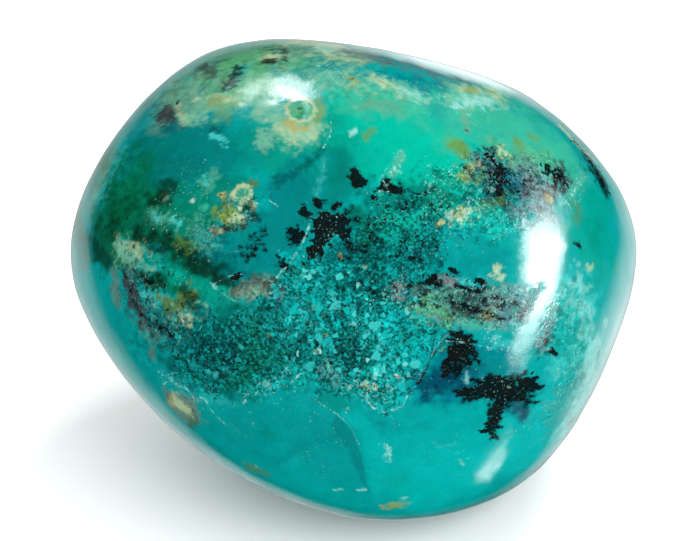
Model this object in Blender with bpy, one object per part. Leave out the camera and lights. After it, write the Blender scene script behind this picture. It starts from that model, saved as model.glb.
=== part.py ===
"""A tumbled and polished chrysocolla, 32 mm long, lying on the small flat that wear has left under it.

The stone is one piece. It is built as a rough block is worn in a tumbler: soft faces were rubbed on it from
many sides, and each melts into the next over a wide round edge.
"""

import math

import bmesh
import bpy
import numpy as np

MM = 0.001

# How the stone is described: from its heart, a point inside it, each worn face looks along a turn and a tilt,
# and lies at a distance. The turn is in degrees from the front, growing towards the right, and the tilt is in
# degrees above level. The distance is in millimetres.
WORN_FACES = (
    ("show face", 0, 35, 11.2),
    ("front right", 55, 26, 14.5),
    ("front right brow", 58, 64, 13.3),
    ("front left brow", -56, 66, 13.3),
    ("front left", -54, 23, 14.5),
    ("front left hip", -26, -3, 13.5),
    ("front foot", 15, -8, 13.1),
    ("right end", 76, -16, 16.6),
    ("right shoulder", 115, 31, 14.8),
    ("right brow", 159, 54, 12.9),
    ("left brow", -153, 52, 16.1),
    ("left shoulder", -110, 27, 16.7),
    ("left end", -79, -14, 17.5),
    ("left hip", -61, -34, 14.2),
    ("left foot", -29, -52, 13.5),
    ("right foot", 37, -48, 15.2),
    ("right hip", 75, -21, 15.0),
    ("far face", 180, -35, 11.6),
    ("back right", 130, -16, 14.5),
    ("back brow", 169, 12, 13.2),
    ("back left brow", -147, -2, 13.8),
    ("back left", -119, -40, 14.3),
    ("back foot", 129, -45, 13.6),
    ("underside", 0, -90, 12.7),
)

# The higher this number, the tighter the edges between the worn faces.
EDGE_TIGHTNESS = 9.4

# Shallow dips, where softer patches of the stone wore a little deeper: turn and tilt of the middle in degrees,
# radius and depth in millimetres.
DIPS = (
    ("dip behind the crown", 172, 22, 5.5, 0.30),
    ("dip in the far face", -160, -30, 6.0, 0.35),
    ("dip under the left end", -108, -32, 4.5, 0.25),
    ("dip under the right shoulder", 122, -4, 4.5, 0.20),
)

# The flat that the stone lies on is this far above the lowest point that a round underside would have.
BED_WEAR = 0.30 * MM

# Squares along each edge of the cube that is blown up into the stone.
CELLS = 24

STONE_COLOUR = (0.010, 0.350, 0.330, 1.0)
STONE_ROUGHNESS = 0.12
STONE_IOR = 1.50


def direction(turn, tilt):
    """The unit vector that looks along a turn and a tilt: the front is -Y, the right is +X, up is +Z."""
    turn = math.radians(turn)
    tilt = math.radians(tilt)
    return np.array([
        math.sin(turn) * math.cos(tilt),
        -math.cos(turn) * math.cos(tilt),
        math.sin(tilt),
    ])


def worn_reach(rays):
    """How far the stone reaches from its heart along each ray, with the worn faces melted together."""
    total = np.zeros(len(rays))
    for _name, turn, tilt, distance in WORN_FACES:
        slope = np.maximum(0.0, rays @ direction(turn, tilt)) / (distance * MM)
        total += slope ** EDGE_TIGHTNESS
    return total ** (-1.0 / EDGE_TIGHTNESS)


def dip_depth(points):
    """How much the dips take off the surface at each point, fading to nothing at a dip's rim."""
    depth = np.zeros(len(points))
    for _name, turn, tilt, radius, deepest in DIPS:
        ray = direction(turn, tilt)
        middle = ray * worn_reach(ray[None, :])
        share = np.linalg.norm(points - middle, axis=1) / (radius * MM)
        depth += deepest * MM * np.clip(1.0 - share ** 2, 0.0, 1.0) ** 2
    return depth


def blown_up_cube():
    """A cube cut into even squares, with its corners drawn in so that the squares stay alike on a sphere."""
    shape = bmesh.new()
    bmesh.ops.create_cube(shape, size=2.0)
    bmesh.ops.subdivide_edges(shape, edges=shape.edges[:], cuts=CELLS - 1, use_grid_fill=True)
    cube = np.array([vertex.co for vertex in shape.verts])
    rays = np.tan(cube * math.pi / 4)
    rays /= np.linalg.norm(rays, axis=1)[:, None]
    return shape, rays


def stone_points(rays):
    """The surface point along each ray, worn flat below, with the origin in the middle of its footprint."""
    points = rays * worn_reach(rays)[:, None]
    points -= rays * dip_depth(points)[:, None]
    bed = points[:, 2].min() + BED_WEAR
    points[:, 2] = np.maximum(points[:, 2], bed)
    low = points.min(axis=0)
    high = points.max(axis=0)
    return points - np.array([(low[0] + high[0]) / 2, (low[1] + high[1]) / 2, bed])


def polished_stone():
    material = bpy.data.materials.new("polished chrysocolla")
    material.use_nodes = True
    shader = material.node_tree.nodes["Principled BSDF"]
    shader.inputs["Base Color"].default_value = STONE_COLOUR
    shader.inputs["Roughness"].default_value = STONE_ROUGHNESS
    shader.inputs["Metallic"].default_value = 0.0
    shader.inputs["IOR"].default_value = STONE_IOR
    return material


def make_stone(collection):
    shape, rays = blown_up_cube()
    for vertex, point in zip(shape.verts, stone_points(rays)):
        vertex.co = point
    mesh = bpy.data.meshes.new("stone")
    shape.to_mesh(mesh)
    shape.free()
    mesh.shade_smooth()
    mesh.materials.append(polished_stone())
    stone = bpy.data.objects.new("stone", mesh)
    collection.objects.link(stone)
    return stone


for old in list(bpy.data.objects):
    bpy.data.objects.remove(old, do_unlink=True)

parts = bpy.data.collections.new("polished chrysocolla stone")
bpy.context.scene.collection.children.link(parts)
made = make_stone(parts)
size = [round(side / MM, 2) for side in made.dimensions]
print("stone, mm:", size)
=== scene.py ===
# %% [markdown]
# A polished chrysocolla, made in Blender.
#
# The real thing is one stone, 32 mm long, rubbed round in a tumbler and polished to a wet shine. Its shape
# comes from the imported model. What is left to make is what the eye lingers on: the skin with its faint
# waves and pits, and the blue, green, cream, ochre and black that the polish lays open.

# %% The frame
import math
import random

import bmesh
import bpy
import numpy as np
from mathutils import Matrix, Vector, noise
from mathutils.bvhtree import BVHTree


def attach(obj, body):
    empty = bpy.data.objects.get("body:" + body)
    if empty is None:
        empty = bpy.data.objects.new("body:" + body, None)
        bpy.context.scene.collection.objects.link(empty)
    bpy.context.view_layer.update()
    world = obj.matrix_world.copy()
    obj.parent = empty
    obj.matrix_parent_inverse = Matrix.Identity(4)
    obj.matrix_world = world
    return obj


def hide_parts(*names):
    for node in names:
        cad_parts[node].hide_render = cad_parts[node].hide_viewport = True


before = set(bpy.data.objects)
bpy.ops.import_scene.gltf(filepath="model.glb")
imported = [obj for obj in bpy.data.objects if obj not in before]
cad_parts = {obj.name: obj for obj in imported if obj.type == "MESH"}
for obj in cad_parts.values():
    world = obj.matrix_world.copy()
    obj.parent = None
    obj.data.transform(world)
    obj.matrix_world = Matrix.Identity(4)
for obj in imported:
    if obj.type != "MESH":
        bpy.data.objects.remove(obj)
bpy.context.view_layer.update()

MM = 0.001

# %% [markdown]
# The camera looks squarely at the show face, from 35 degrees above level and a quarter of a metre away. A
# long lens at that distance is how a small stone is photographed, and it keeps the perspective weak.
# Markings and lights are placed by where this view shows them, so the camera comes first.

# %% The camera
HEART = Vector((0.60, -0.13, 12.26)) * MM
CAMERA_TILT = math.radians(35.0)
CAMERA_DISTANCE = 250 * MM
PICTURE_WIDTH = 700
PICTURE_HEIGHT = 541
SENSOR_WIDTH_MM = 36.0
LENS_MM = 228.6
HEART_IN_PICTURE = (363.5, 277.7)

to_camera = Vector((0.0, -math.cos(CAMERA_TILT), math.sin(CAMERA_TILT)))
eye = HEART + to_camera * CAMERA_DISTANCE
pixels_per_metre = PICTURE_WIDTH * LENS_MM / SENSOR_WIDTH_MM / CAMERA_DISTANCE
picture_right = Vector((1.0, 0.0, 0.0))
picture_up = to_camera.cross(picture_right)
aim = HEART
aim = aim - picture_right * (HEART_IN_PICTURE[0] - PICTURE_WIDTH / 2) / pixels_per_metre
aim = aim + picture_up * (HEART_IN_PICTURE[1] - PICTURE_HEIGHT / 2) / pixels_per_metre

camera_data = bpy.data.cameras.new("camera")
camera_data.lens = LENS_MM
camera_data.sensor_width = SENSOR_WIDTH_MM
camera_data.clip_start = 0.01
camera_data.clip_end = 20.0
camera = bpy.data.objects.new("camera", camera_data)
bpy.context.scene.collection.objects.link(camera)
camera.location = eye
camera.rotation_mode = "QUATERNION"
camera.rotation_quaternion = (aim - eye).to_track_quat("-Z", "Y")
bpy.context.scene.camera = camera
print("pixels per millimetre at the heart:", round(pixels_per_metre * MM, 2))

# %% [markdown]
# The skin is one fine mesh over the whole stone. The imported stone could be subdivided, but that would put
# as many points on the hidden side as on the show face. So a cube is cut into squares and blown up, and its
# squares are drawn together towards the show face, where the markings are finest. Each point is then found
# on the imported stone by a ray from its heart.

# %% The skin's points
SKIN_CELLS = 128
SHOW_FACE_DENSITY = 2.0


def drawn_together(rays, pole, density):
    """Slides directions over the sphere towards a pole, evenly in all turns, so they lie denser there."""
    lift = rays @ pole
    flat = (rays - np.outer(lift, pole)) / (1.0 + lift)[:, None] / density
    spread = (flat ** 2).sum(axis=1)[:, None]
    return (2 * flat + (1 - spread) * pole) / (1 + spread)


def even_rays(shape):
    cube = np.array([vertex.co for vertex in shape.verts])
    rays = np.tan(cube * math.pi / 4)
    return rays / np.linalg.norm(rays, axis=1)[:, None]


skin_shape = bmesh.new()
bmesh.ops.create_cube(skin_shape, size=2.0)
bmesh.ops.subdivide_edges(skin_shape, edges=skin_shape.edges[:], cuts=SKIN_CELLS - 1, use_grid_fill=True)
turned = np.array(to_camera.to_track_quat("Z", "Y").to_matrix())
rays = drawn_together(even_rays(skin_shape) @ turned.T, np.array(to_camera), SHOW_FACE_DENSITY)

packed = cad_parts["stone"]
packed_tree = BVHTree.FromPolygons(
    [vertex.co for vertex in packed.data.vertices],
    [polygon.vertices[:] for polygon in packed.data.polygons],
)
reach = np.array([packed_tree.ray_cast(HEART, Vector(ray))[3] for ray in rays])
print("skin points:", len(rays), " reach, mm:", round(reach.min() / MM, 2), "to", round(reach.max() / MM, 2))

# %% [markdown]
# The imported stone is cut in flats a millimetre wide, and on a mirror polish every one would show. A
# subdivision modifier would round them too, but would draw the whole form in. Instead the reach of each
# point is averaged with its neighbours until the flats are gone. The bed stays flat.

# %% Rubbing out the flats
SMOOTHING_ROUNDS = 70

edge_ends = np.array([[v.index for v in edge.verts] for edge in skin_shape.edges])
neighbours = np.bincount(edge_ends.ravel(), minlength=len(rays))


def evened(values, rounds):
    """Values at the skin's points, each averaged with its neighbours over and over."""
    for _ in range(rounds):
        total = np.bincount(edge_ends[:, 0], values[edge_ends[:, 1]], len(values))
        total += np.bincount(edge_ends[:, 1], values[edge_ends[:, 0]], len(values))
        values = (values + total / neighbours) / 2
    return values


smooth_reach = evened(reach, SMOOTHING_ROUNDS)
print("most that smoothing moved, mm:", round(np.abs(smooth_reach - reach).max() / MM, 3))
skin = (np.array(HEART) + rays * smooth_reach[:, None]) / MM
skin[:, 2] = np.maximum(skin[:, 2], 0.0)

# %% [markdown]
# A marking lies along a path or fills a patch. Both are given by places in the picture that the camera
# takes, and a path on a hidden side by the way that side faces. The places are then looked up on the stone
# itself, and all distances are millimetres in space, so that no marking is stretched where the stone curves
# away.

# %% Places on the stone
skin_tree = BVHTree.FromPolygons(
    [Vector(point) for point in skin],
    [[v.index for v in face.verts] for face in skin_shape.faces],
)
view = camera.rotation_quaternion.to_matrix()
flat_axes = np.array([picture_right, picture_up]).T
towards_camera = rays @ np.array(to_camera) > 0.0


def sight(x, y):
    """The ray from the camera's eye through a place in the picture."""
    sideways = (x - PICTURE_WIDTH / 2) * SENSOR_WIDTH_MM / PICTURE_WIDTH
    upwards = (PICTURE_HEIGHT / 2 - y) * SENSOR_WIDTH_MM / PICTURE_WIDTH
    return (view @ Vector((sideways, upwards, -LENS_MM))).normalized()


def seen(x, y):
    """The point of the stone seen at a place in the picture, and the way the skin faces there."""
    point, normal = skin_tree.ray_cast(eye / MM, sight(x, y))[:2]
    if point is None:
        raise ValueError(f"the camera misses the stone at {x}, {y}")
    return point, normal


def way(turn, tilt):
    """A direction: turned from the camera's side towards the right, and tilted above level, in degrees."""
    turn = math.radians(turn)
    tilt = math.radians(tilt)
    return Vector((math.sin(turn) * math.cos(tilt), -math.cos(turn) * math.cos(tilt), math.sin(tilt)))


def path(*spots):
    return "path", np.array([seen(x, y)[0] for x, y in spots])


def patch(*spots):
    return "patch", np.array([seen(x, y)[0] for x, y in spots])


def side(*ways):
    return "side", np.array([skin_tree.ray_cast(HEART / MM, way(*facing))[0] for facing in ways])


def from_line(points, start, end):
    """How far points are from a straight line between two ends."""
    along = end - start
    share = np.clip((points - start) @ along / max(along @ along, 1e-12), 0.0, 1.0)
    return np.linalg.norm(points - start - share[:, None] * along, axis=1)


SHY_OF_THE_CAMERA_MM = 12.0


def from_place(place, limit):
    """The skin points within a limit of a place, and how far each lies outside it, less than 0 inside. A path
    on a hidden side keeps shy of the camera."""
    kind, corners = place
    middle = (corners.min(axis=0) + corners.max(axis=0)) / 2
    span = np.linalg.norm(corners - middle, axis=1).max()
    near = np.linalg.norm(skin - middle, axis=1) < span + limit
    if kind != "patch":
        near = np.flatnonzero(near)
        pairs = list(zip(corners, corners[1:])) or [(corners[0], corners[0])]
        far = np.min([from_line(skin[near], *ends) for ends in pairs], axis=0)
        if kind == "side":
            far += SHY_OF_THE_CAMERA_MM * np.maximum(rays[near] @ np.array(to_camera), 0.0)
        return near, far
    near = np.flatnonzero(near & towards_camera)
    points = skin[near] @ flat_axes
    corners = corners @ flat_axes
    inside = np.zeros(len(near), bool)
    far = np.full(len(near), np.inf)
    for start, end in zip(corners, np.roll(corners, -1, axis=0)):
        far = np.minimum(far, from_line(points, start, end))
        crosses = (start[1] > points[:, 1]) != (end[1] > points[:, 1])
        climb = end[1] - start[1] or 1e-12
        crossing = start[0] + (points[:, 1] - start[1]) / climb * (end[0] - start[0])
        inside ^= crosses & (points[:, 0] < crossing)
    return near, np.where(inside, -far, far)


# %% [markdown]
# Nothing in the stone has a smooth rim. Copper water crept along every crack, so each stain frays into
# smaller and smaller tongues. Fractal noise is laid over the skin once, at several sizes, and every brush
# stroke borrows the one that suits its width to wander by. Three kinds of each keep two neighbours from
# wandering alike.

# %% Ragged edges
CLOUD_SIZES = (0.3, 0.6, 1.2, 2.4, 4.8)
CLOUD_KINDS = 3
ROUGHNESS_OF_RIMS = 0.55
FINEST_TONGUE = 0.14


def clouds(size, kind):
    """Fractal noise over the skin, with patches of a size in mm and finer ones down to the finest tongue."""
    octaves = max(2, round(math.log2(size / FINEST_TONGUE)))
    shift = Vector((17.0 * kind, 5.0 * kind, size))
    values = [noise.fractal(Vector(point) / size + shift, ROUGHNESS_OF_RIMS, 2.0, octaves) for point in skin]
    return (np.array(values) - np.mean(values)) / np.std(values)


cloud_fields = {(size, kind): clouds(size, kind) for size in CLOUD_SIZES for kind in range(CLOUD_KINDS)}
print("kinds of noise on the skin:", len(cloud_fields))


def wander(name, reach):
    """The noise by which a marking of this name and reach wanders."""
    size = min(CLOUD_SIZES, key=lambda size: abs(math.log(size / reach)))
    return cloud_fields[size, sum(map(ord, name)) % CLOUD_KINDS]


def ease(share):
    share = np.clip(share, 0.0, 1.0)
    return share * share * (3.0 - 2.0 * share)


# %% [markdown]
# The colours are mixed beforehand, as on a painter's palette, and each is written as the lit stone shows it
# on a screen, from 0 to 255. Blender mixes light and not screen values, so each is made linear first. The
# lamps here are about twice as strong as a plain studio's, which turns the paper clear white, and the
# stone's own colours are darker than they look by the same share.

# %% The palette
PALETTE = {
    "turquoise": (0, 168, 164),
    "turquoise bright": (0, 190, 186),
    "lagoon": (0, 148, 146),
    "lagoon dark": (2, 134, 134),
    "cyan": (70, 214, 206),
    "aqua": (50, 190, 186),
    "teal": (2, 126, 118),
    "deep teal": (2, 92, 92),
    "night teal": (2, 58, 62),
    "dark sea": (2, 76, 98),
    "sea blue": (0, 110, 134),
    "navy": (4, 34, 58),
    "mint": (0, 194, 164),
    "spring": (64, 196, 160),
    "jade": (2, 162, 138),
    "forest": (2, 118, 84),
    "moss": (4, 92, 54),
    "dark moss": (8, 52, 30),
    "olive": (96, 124, 40),
    "ochre": (164, 166, 72),
    "gold": (196, 184, 104),
    "lichen": (110, 154, 66),
    "fog": (126, 152, 158),
    "cream": (196, 218, 170),
    "pale mint": (132, 206, 172),
    "veil": (112, 172, 142),
    "veil green": (94, 186, 126),
    "sea green": (84, 184, 158),
    "ice": (156, 232, 224),
    "white": (232, 240, 234),
    "slate": (88, 130, 140),
    "violet grey": (122, 130, 142),
    "ash": (112, 136, 120),
    "rose grey": (146, 138, 140),
    "umber": (46, 43, 35),
    "russet": (126, 98, 62),
    "plum": (62, 54, 64),
    "black": (9, 9, 11),
}


def linear(colour):
    share = np.array(colour) / 255
    return np.where(share <= 0.04045, share / 12.92, ((share + 0.055) / 1.055) ** 2.4)


STONE_AGAINST_ITS_LOOK = 0.52
PALETTE = {name: linear(colour) * STONE_AGAINST_ITS_LOOK for name, colour in PALETTE.items()}
print("colours mixed:", len(PALETTE))

# %% [markdown]
# Two kinds of thing are laid on. A wash is a colour. A texture is an amount, from 0 to 1, of something
# finer than the skin's points, such as grains or specks, and the material draws it later. Black is laid on
# apart, as the distance to the nearest black growth, because a distance stays sharp however near the eye
# comes. White veins are kept in the same way.

# %% Brushes
tint = np.tile(PALETTE["turquoise"], (len(skin), 1))
TEXTURES = ("grain", "clast", "soot", "snow", "milk", "mottle", "dull")
textures = {name: np.zeros(len(skin)) for name in TEXTURES}
to_growth = np.full(len(skin), 1.0)
to_vein = np.full(len(skin), 1.0)


def lay_on(markings):
    """Lays on markings by name: what, where, reach in mm, how much, share that fades and raggedness."""
    print("markings laid on:", len(markings))
    for name, (what, place, reach, *rest) in markings.items():
        amount, edge, ragged = rest + [1.0, 0.4, 0.6][len(rest):]
        near, far = from_place(place, reach * (1 + edge + 2 * ragged))
        if place[0] == "patch":
            far = far + reach
        far = far + ragged * reach / 2 * wander(name, reach)[near]
        if what == "black":
            to_growth[near] = np.minimum(to_growth[near], far - reach)
            continue
        if what == "vein":
            to_vein[near] = np.minimum(to_vein[near], far - reach)
            continue
        cover = ease((reach * (1 + edge) - far) / (2 * edge * reach))
        if what in textures:
            textures[what][near] += (amount - textures[what][near]) * cover
        else:
            tint[near] += (PALETTE[what] - tint[near]) * (amount * cover)[:, None]


# %% [markdown]
# The body is clear turquoise at the foot and mint at the brow, and goes through sea green to deep forest
# green on the left. Procedural noise could cloud the body, but it would put the colours anywhere. These are
# broad soft washes, given one by one and laid first, as a painter would.

# %% The body
lay_on({
    "sea green of the right": ("aqua", path((590, 300), (575, 400), (545, 440)), 2.6, 0.4, 0.9),
    "clear left foot": ("lagoon", path((215, 430), (300, 425), (345, 430)), 2.2, 0.8, 0.8),
    "left hip": ("lagoon", path((120, 320), (150, 380)), 2.0, 0.6, 0.9),
    "bright right foot": ("turquoise bright", path((430, 495), (520, 455), (550, 420)), 2.4, 0.8, 0.9),
    "middle of the foot": ("turquoise bright", path((420, 450), (470, 450)), 1.6, 0.35, 0.9),
    "mint brow": ("mint", path((350, 130), (380, 140), (440, 155)), 2.8, 1.0, 0.7),
    "spring right brow": ("spring", path((470, 112), (520, 125), (560, 160)), 1.9, 0.8, 0.8),
    "mint under the brow": ("mint", path((430, 180), (470, 190), (500, 215)), 1.6, 0.4, 0.9),
    "right flank": ("jade", path((590, 200), (596, 250)), 1.5, 0.7, 0.8),
    "jade left brow": ("jade", path((240, 150), (290, 160), (335, 152)), 1.7, 0.9, 0.7),
    "teal left brow": ("lagoon dark", path((150, 130), (205, 152), (215, 165)), 2.0, 0.9, 0.7),
    "green shade by the rim": ("teal", path((165, 150), (140, 170), (180, 180)), 1.5, 0.85, 0.8),
    "forest": ("forest", path((122, 190), (135, 215), (180, 235), (215, 262)), 2.1, 1.0, 0.6),
    "forest light": ("jade", path((185, 212), (215, 190)), 1.1, 0.5, 0.8),
    "pool": ("lagoon dark", path((300, 195), (285, 220), (262, 268), (232, 262)), 1.7, 0.95, 0.6),
    "dusk over the pool": ("teal", path((335, 178), (330, 195)), 1.3, 0.8, 0.7),
    "dark corner of the pool": ("deep teal", path((222, 272), (228, 282)), 0.8, 0.7, 0.8),
    "moss by the rim": ("moss", path((108, 215), (104, 240)), 0.9, 0.7, 0.8),
    "green glints": ("moss", path((137, 200), (122, 205)), 0.4, 0.5, 0.9),
})

# %% [markdown]
# Along the crown lies a cloud of pale green and cream, with ochre where iron got in. It could be one patch
# of noise. It is many small markings instead, because each stain has its own place there. Later ones lie on
# earlier ones.

# %% The crown
lay_on({
    "cloud": ("veil", path((178, 98), (200, 82), (235, 62), (300, 50), (350, 54)), 1.5, 0.85, 0.8, 0.5),
    "green in the cloud": ("veil green", path((222, 66), (256, 62), (262, 76), (235, 92)), 1.0, 0.9, 0.8,
                           0.8),
    "green right of the ring": ("veil green", path((296, 64), (306, 68)), 0.5, 0.7, 0.8, 0.8),
    "mint haze under it": ("pale mint", path((205, 104), (250, 90), (330, 80), (372, 92)), 0.8, 0.6, 0.8,
                           0.9),
    "pale rim of the crown": ("cream", path((300, 42), (335, 48), (358, 55)), 0.8, 0.8, 0.9, 0.8),
    "cloud by the rim": ("veil", path((166, 100), (190, 73), (225, 53), (270, 43)), 0.8, 0.7, 0.8, 0.7),
    "crown mottle": ("mottle", path((190, 90), (250, 60), (300, 56), (350, 75)), 1.8, 0.7, 0.6, 0.7),
    "pale left of the cloud": ("aqua", path((140, 126), (158, 108)), 0.6, 0.4, 0.9),
    "white of the crown's rim": ("ice", path((318, 48), (345, 54)), 0.35, 0.6, 0.8, 0.9),
    "cream ribbons": ("cream", path((330, 55), (362, 60)), 0.3, 0.7, 0.7, 0.9),
    "teal under the ribbons": ("lagoon", path((300, 72), (318, 62), (345, 66)), 0.45, 0.55, 0.9, 0.9),
    "left milk": ("pale mint", path((254, 96), (262, 108)), 0.5, 0.7, 0.8, 1.0),
    "swirl": ("spring", path((358, 100), (385, 94), (412, 106)), 0.9, 0.85, 0.8, 0.7),
    "swirl light": ("veil", path((370, 104), (398, 108)), 0.5, 0.5, 0.8, 0.9),
    "swirl gold": ("cream", path((392, 86), (404, 92)), 0.28, 0.5, 0.8, 0.9),
    "cream lump": ("cream", path((375, 78), (386, 83)), 0.3, 0.85, 0.5, 0.9),
    "white lump": ("ice", path((408, 93), (420, 97)), 0.34, 0.75, 0.6, 1.0),
    "blue band": ("sea blue", patch((388, 72), (448, 84), (452, 92), (430, 94), (404, 82)), 0.5, 0.55, 0.7,
                  0.8),
    "slate above it": ("slate", path((352, 53), (400, 62), (440, 74), (470, 82)), 0.75, 0.8, 0.8, 0.7),
    "slate right end": ("slate", path((470, 82), (505, 95)), 0.4, 0.3, 0.9, 0.7),
    "orange spot": ("russet", path((386, 64), (391, 64)), 0.16, 0.7, 0.6),
    "cream field": ("pale mint", patch((450, 88), (470, 82), (500, 92), (505, 104), (470, 110), (446, 100)),
                    0.6, 0.75, 0.7, 1.0),
    "cream in it": ("cream", path((466, 90), (492, 94)), 0.45, 0.45, 0.7, 1.1),
    "white in it": ("ice", path((456, 103), (472, 101), (490, 100)), 0.4, 0.9, 0.7, 1.3),
    "ochre in it": ("ochre", path((468, 90), (474, 90)), 0.24, 0.75, 0.6, 0.9),
    "ochre right of it": ("ochre", path((489, 91), (494, 93)), 0.2, 0.65, 0.6, 0.9),
    "green gold left of it": ("spring", path((454, 99)), 0.4, 0.7, 0.6, 0.8),
    "stem": ("veil", path((464, 112), (467, 128)), 0.2, 0.75, 0.7, 1.0),
    "gold grain": ("ochre", patch((344, 76), (352, 73), (360, 80), (353, 86)), 0.3, 0.7, 0.6, 1.2),
    "ochre stain": ("ochre", path((214, 101), (230, 100)), 0.42, 0.6, 0.9, 0.8),
    "lower ochre stain": ("lichen", path((221, 110), (226, 116)), 0.42, 0.5, 0.9, 0.8),
    "olive by the dark stroke": ("olive", path((224, 84), (230, 79)), 0.36, 0.7, 0.8, 0.9),
    "cream in the ring": ("cream", path((268, 57), (279, 56)), 0.45, 0.75, 0.6, 0.8),
    "brown ring": ("umber", path((266, 50), (276, 49), (287, 52)), 0.26, 0.7, 0.6, 1.2),
    "foot of the ring": ("umber", path((265, 62), (273, 63), (283, 60)), 0.22, 0.95, 0.5, 1.1),
    "wine stain": ("plum", path((203, 68), (213, 73)), 0.42, 0.75, 0.7, 0.8),
    "faint brown": ("umber", path((218, 62), (226, 60)), 0.2, 0.5, 0.8),
    "dark stroke": ("night teal", path((236, 70), (235, 78), (228, 88)), 0.28, 0.95, 0.5, 1.2),
    "purple blob": ("plum", patch((157, 110), (166, 104), (177, 108), (175, 120), (164, 125), (156, 121)),
                    0.4, 0.9, 0.6, 0.9),
    "its tail": ("cream", path((178, 105), (180, 114), (184, 126)), 0.13, 0.75, 0.6, 0.9),
    "its foot": ("dark sea", path((170, 128), (182, 126)), 0.3, 0.5, 0.8),
    "cream dot": ("cream", path((196, 100)), 0.2, 0.7, 0.6),
    "pale nodules": ("pale mint", path((191, 117), (200, 118)), 0.4, 0.65, 0.7, 1.0),
    "milk of the crown": ("milk", path((200, 96), (250, 88), (300, 56), (345, 62)), 1.1, 0.6, 0.8, 0.9),
    "milk on the right": ("milk", path((330, 66), (345, 76), (340, 90), (372, 84), (415, 96)), 0.7, 0.9,
                          0.7, 1.0),
    "milk of the field": ("milk", path((452, 96), (495, 98)), 0.7, 1.0, 0.7, 1.0),
    "snow of the field": ("snow", path((448, 100), (480, 104), (505, 96)), 0.6, 0.6, 0.7, 1.0),
    "crown snow": ("snow", path((322, 68), (345, 76), (392, 84), (418, 96)), 0.7, 0.5, 0.7, 1.0),
})

# %% [markdown]
# An eye of clear jelly looks out of the cloud's lower edge, with a thin ring of cream round it and a
# crescent of ochre under it. A small disc set in the skin would show its rim in the polish. A ring is laid
# on like any other marking instead, along places on a circle. It is less high than wide, because the camera
# sees the crown at a slant.

# %% The eye in the crown
EYE = (301, 110)


def ring_about(centre, radius, start, end, flat=1.0):
    """Places round a centre in the picture, from one angle to another in degrees, clockwise from the right. A
    flat ring is less high than wide."""
    turns = np.radians(np.linspace(start, end, 12))
    across, down = radius, radius * flat
    return path(*[(centre[0] + across * math.cos(turn), centre[1] + down * math.sin(turn)) for turn in turns])


lay_on({
    "cream cloud round the eye": ("pale mint", path((280, 122), (290, 134), (308, 134)), 0.6, 0.8, 0.7, 1.0),
    "cream under the eye": ("cream", path((281, 128), (296, 135), (312, 130)), 0.4, 0.7, 0.7, 1.0),
    "cream lobe": ("pale mint", path((264, 134), (264, 143)), 0.36, 0.75, 0.6, 0.8),
    "milk left of the eye": ("pale mint", path((268, 108), (276, 118)), 0.6, 0.7, 0.8, 1.0),
    "ochre crescent": ("ochre", ring_about(EYE, 20, -30, 140, 0.85), 0.22, 0.6, 0.8, 0.8),
    "gold in the crescent": ("gold", path((288, 124), (296, 129), (305, 129)), 0.16, 0.8, 0.6, 0.9),
    "jelly": ("veil green", path((296, 111), (307, 111)), 0.5, 0.8, 0.3, 0.3),
    "ring": ("cream", ring_about(EYE, 15, 0, 360, 0.75), 0.10, 1.0, 0.5, 0.6),
    "inner curl": ("ice", path((307, 104), (308, 111), (304, 117)), 0.08, 0.7, 0.6, 0.8),
    "pupil": ("night teal", path((298, 108), (300, 109)), 0.11, 0.9, 0.5, 0.8),
    "pupil's shadow": ("forest", path((303, 114), (299, 117)), 0.16, 0.6, 0.7),
    "milk under the eye": ("milk", path((268, 104), (272, 128), (296, 136), (314, 126)), 0.7, 0.7, 0.7, 0.9),
})

# %% [markdown]
# Olive, gold and brown spots float under the brow, each no more than a stain. They are short paths of one
# or two places, the plainest marking there is.

# %% Spots under the brow
lay_on({
    "olive spot": ("lichen", path((453, 144), (459, 145), (463, 153)), 0.38, 0.9, 0.8, 0.4),
    "second olive spot": ("lichen", path((366, 138), (370, 131)), 0.22, 0.6, 0.7, 0.7),
    "third olive spot": ("lichen", path((518, 142), (520, 149)), 0.3, 0.75, 0.6, 0.7),
    "fourth olive spot": ("lichen", path((532, 136), (536, 138)), 0.24, 0.65, 0.6, 0.7),
    "small ochre": ("ochre", path((489, 140)), 0.14, 0.6, 0.6),
    "pale bead": ("ice", path((353, 132)), 0.2, 0.85, 0.5),
    "faint bead": ("spring", path((369, 118)), 0.3, 0.4, 0.7),
    "cyan fleck": ("cyan", path((212, 135), (219, 137), (226, 143)), 0.17, 0.95, 0.5, 1.0),
    "dark above the fleck": ("deep teal", path((214, 128), (218, 131)), 0.2, 0.8, 0.6, 0.8),
    "feather": ("deep teal", path((323, 152), (309, 162), (294, 173), (277, 182)), 0.3, 0.75, 0.8, 0.9),
    "feather's quill": ("night teal", path((321, 155), (305, 166)), 0.1, 0.6, 0.7, 0.9),
    "second feather": ("teal", path((337, 155), (344, 172)), 0.3, 0.6, 0.8, 0.9),
    "pale patch by the arc": ("sea green", path((402, 154), (398, 163), (392, 174)), 0.2, 0.9, 0.5, 1.0),
    "glow on the streak": ("cyan", path((325, 158), (322, 176), (316, 194)), 0.14, 0.55, 0.9, 0.9),
    "soft glow on it": ("lagoon", path((325, 160), (316, 198)), 0.5, 0.6, 0.9, 0.7),
})

# %% [markdown]
# The left is moss: dark green with cream and ice in its pores, and a band of bright turquoise that runs
# through it like a root. Under it lie crumbs of brown, plum and black. Noise alone would spread it evenly.
# So each stain is laid where it is, and only the specks on it are left to chance.

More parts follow.
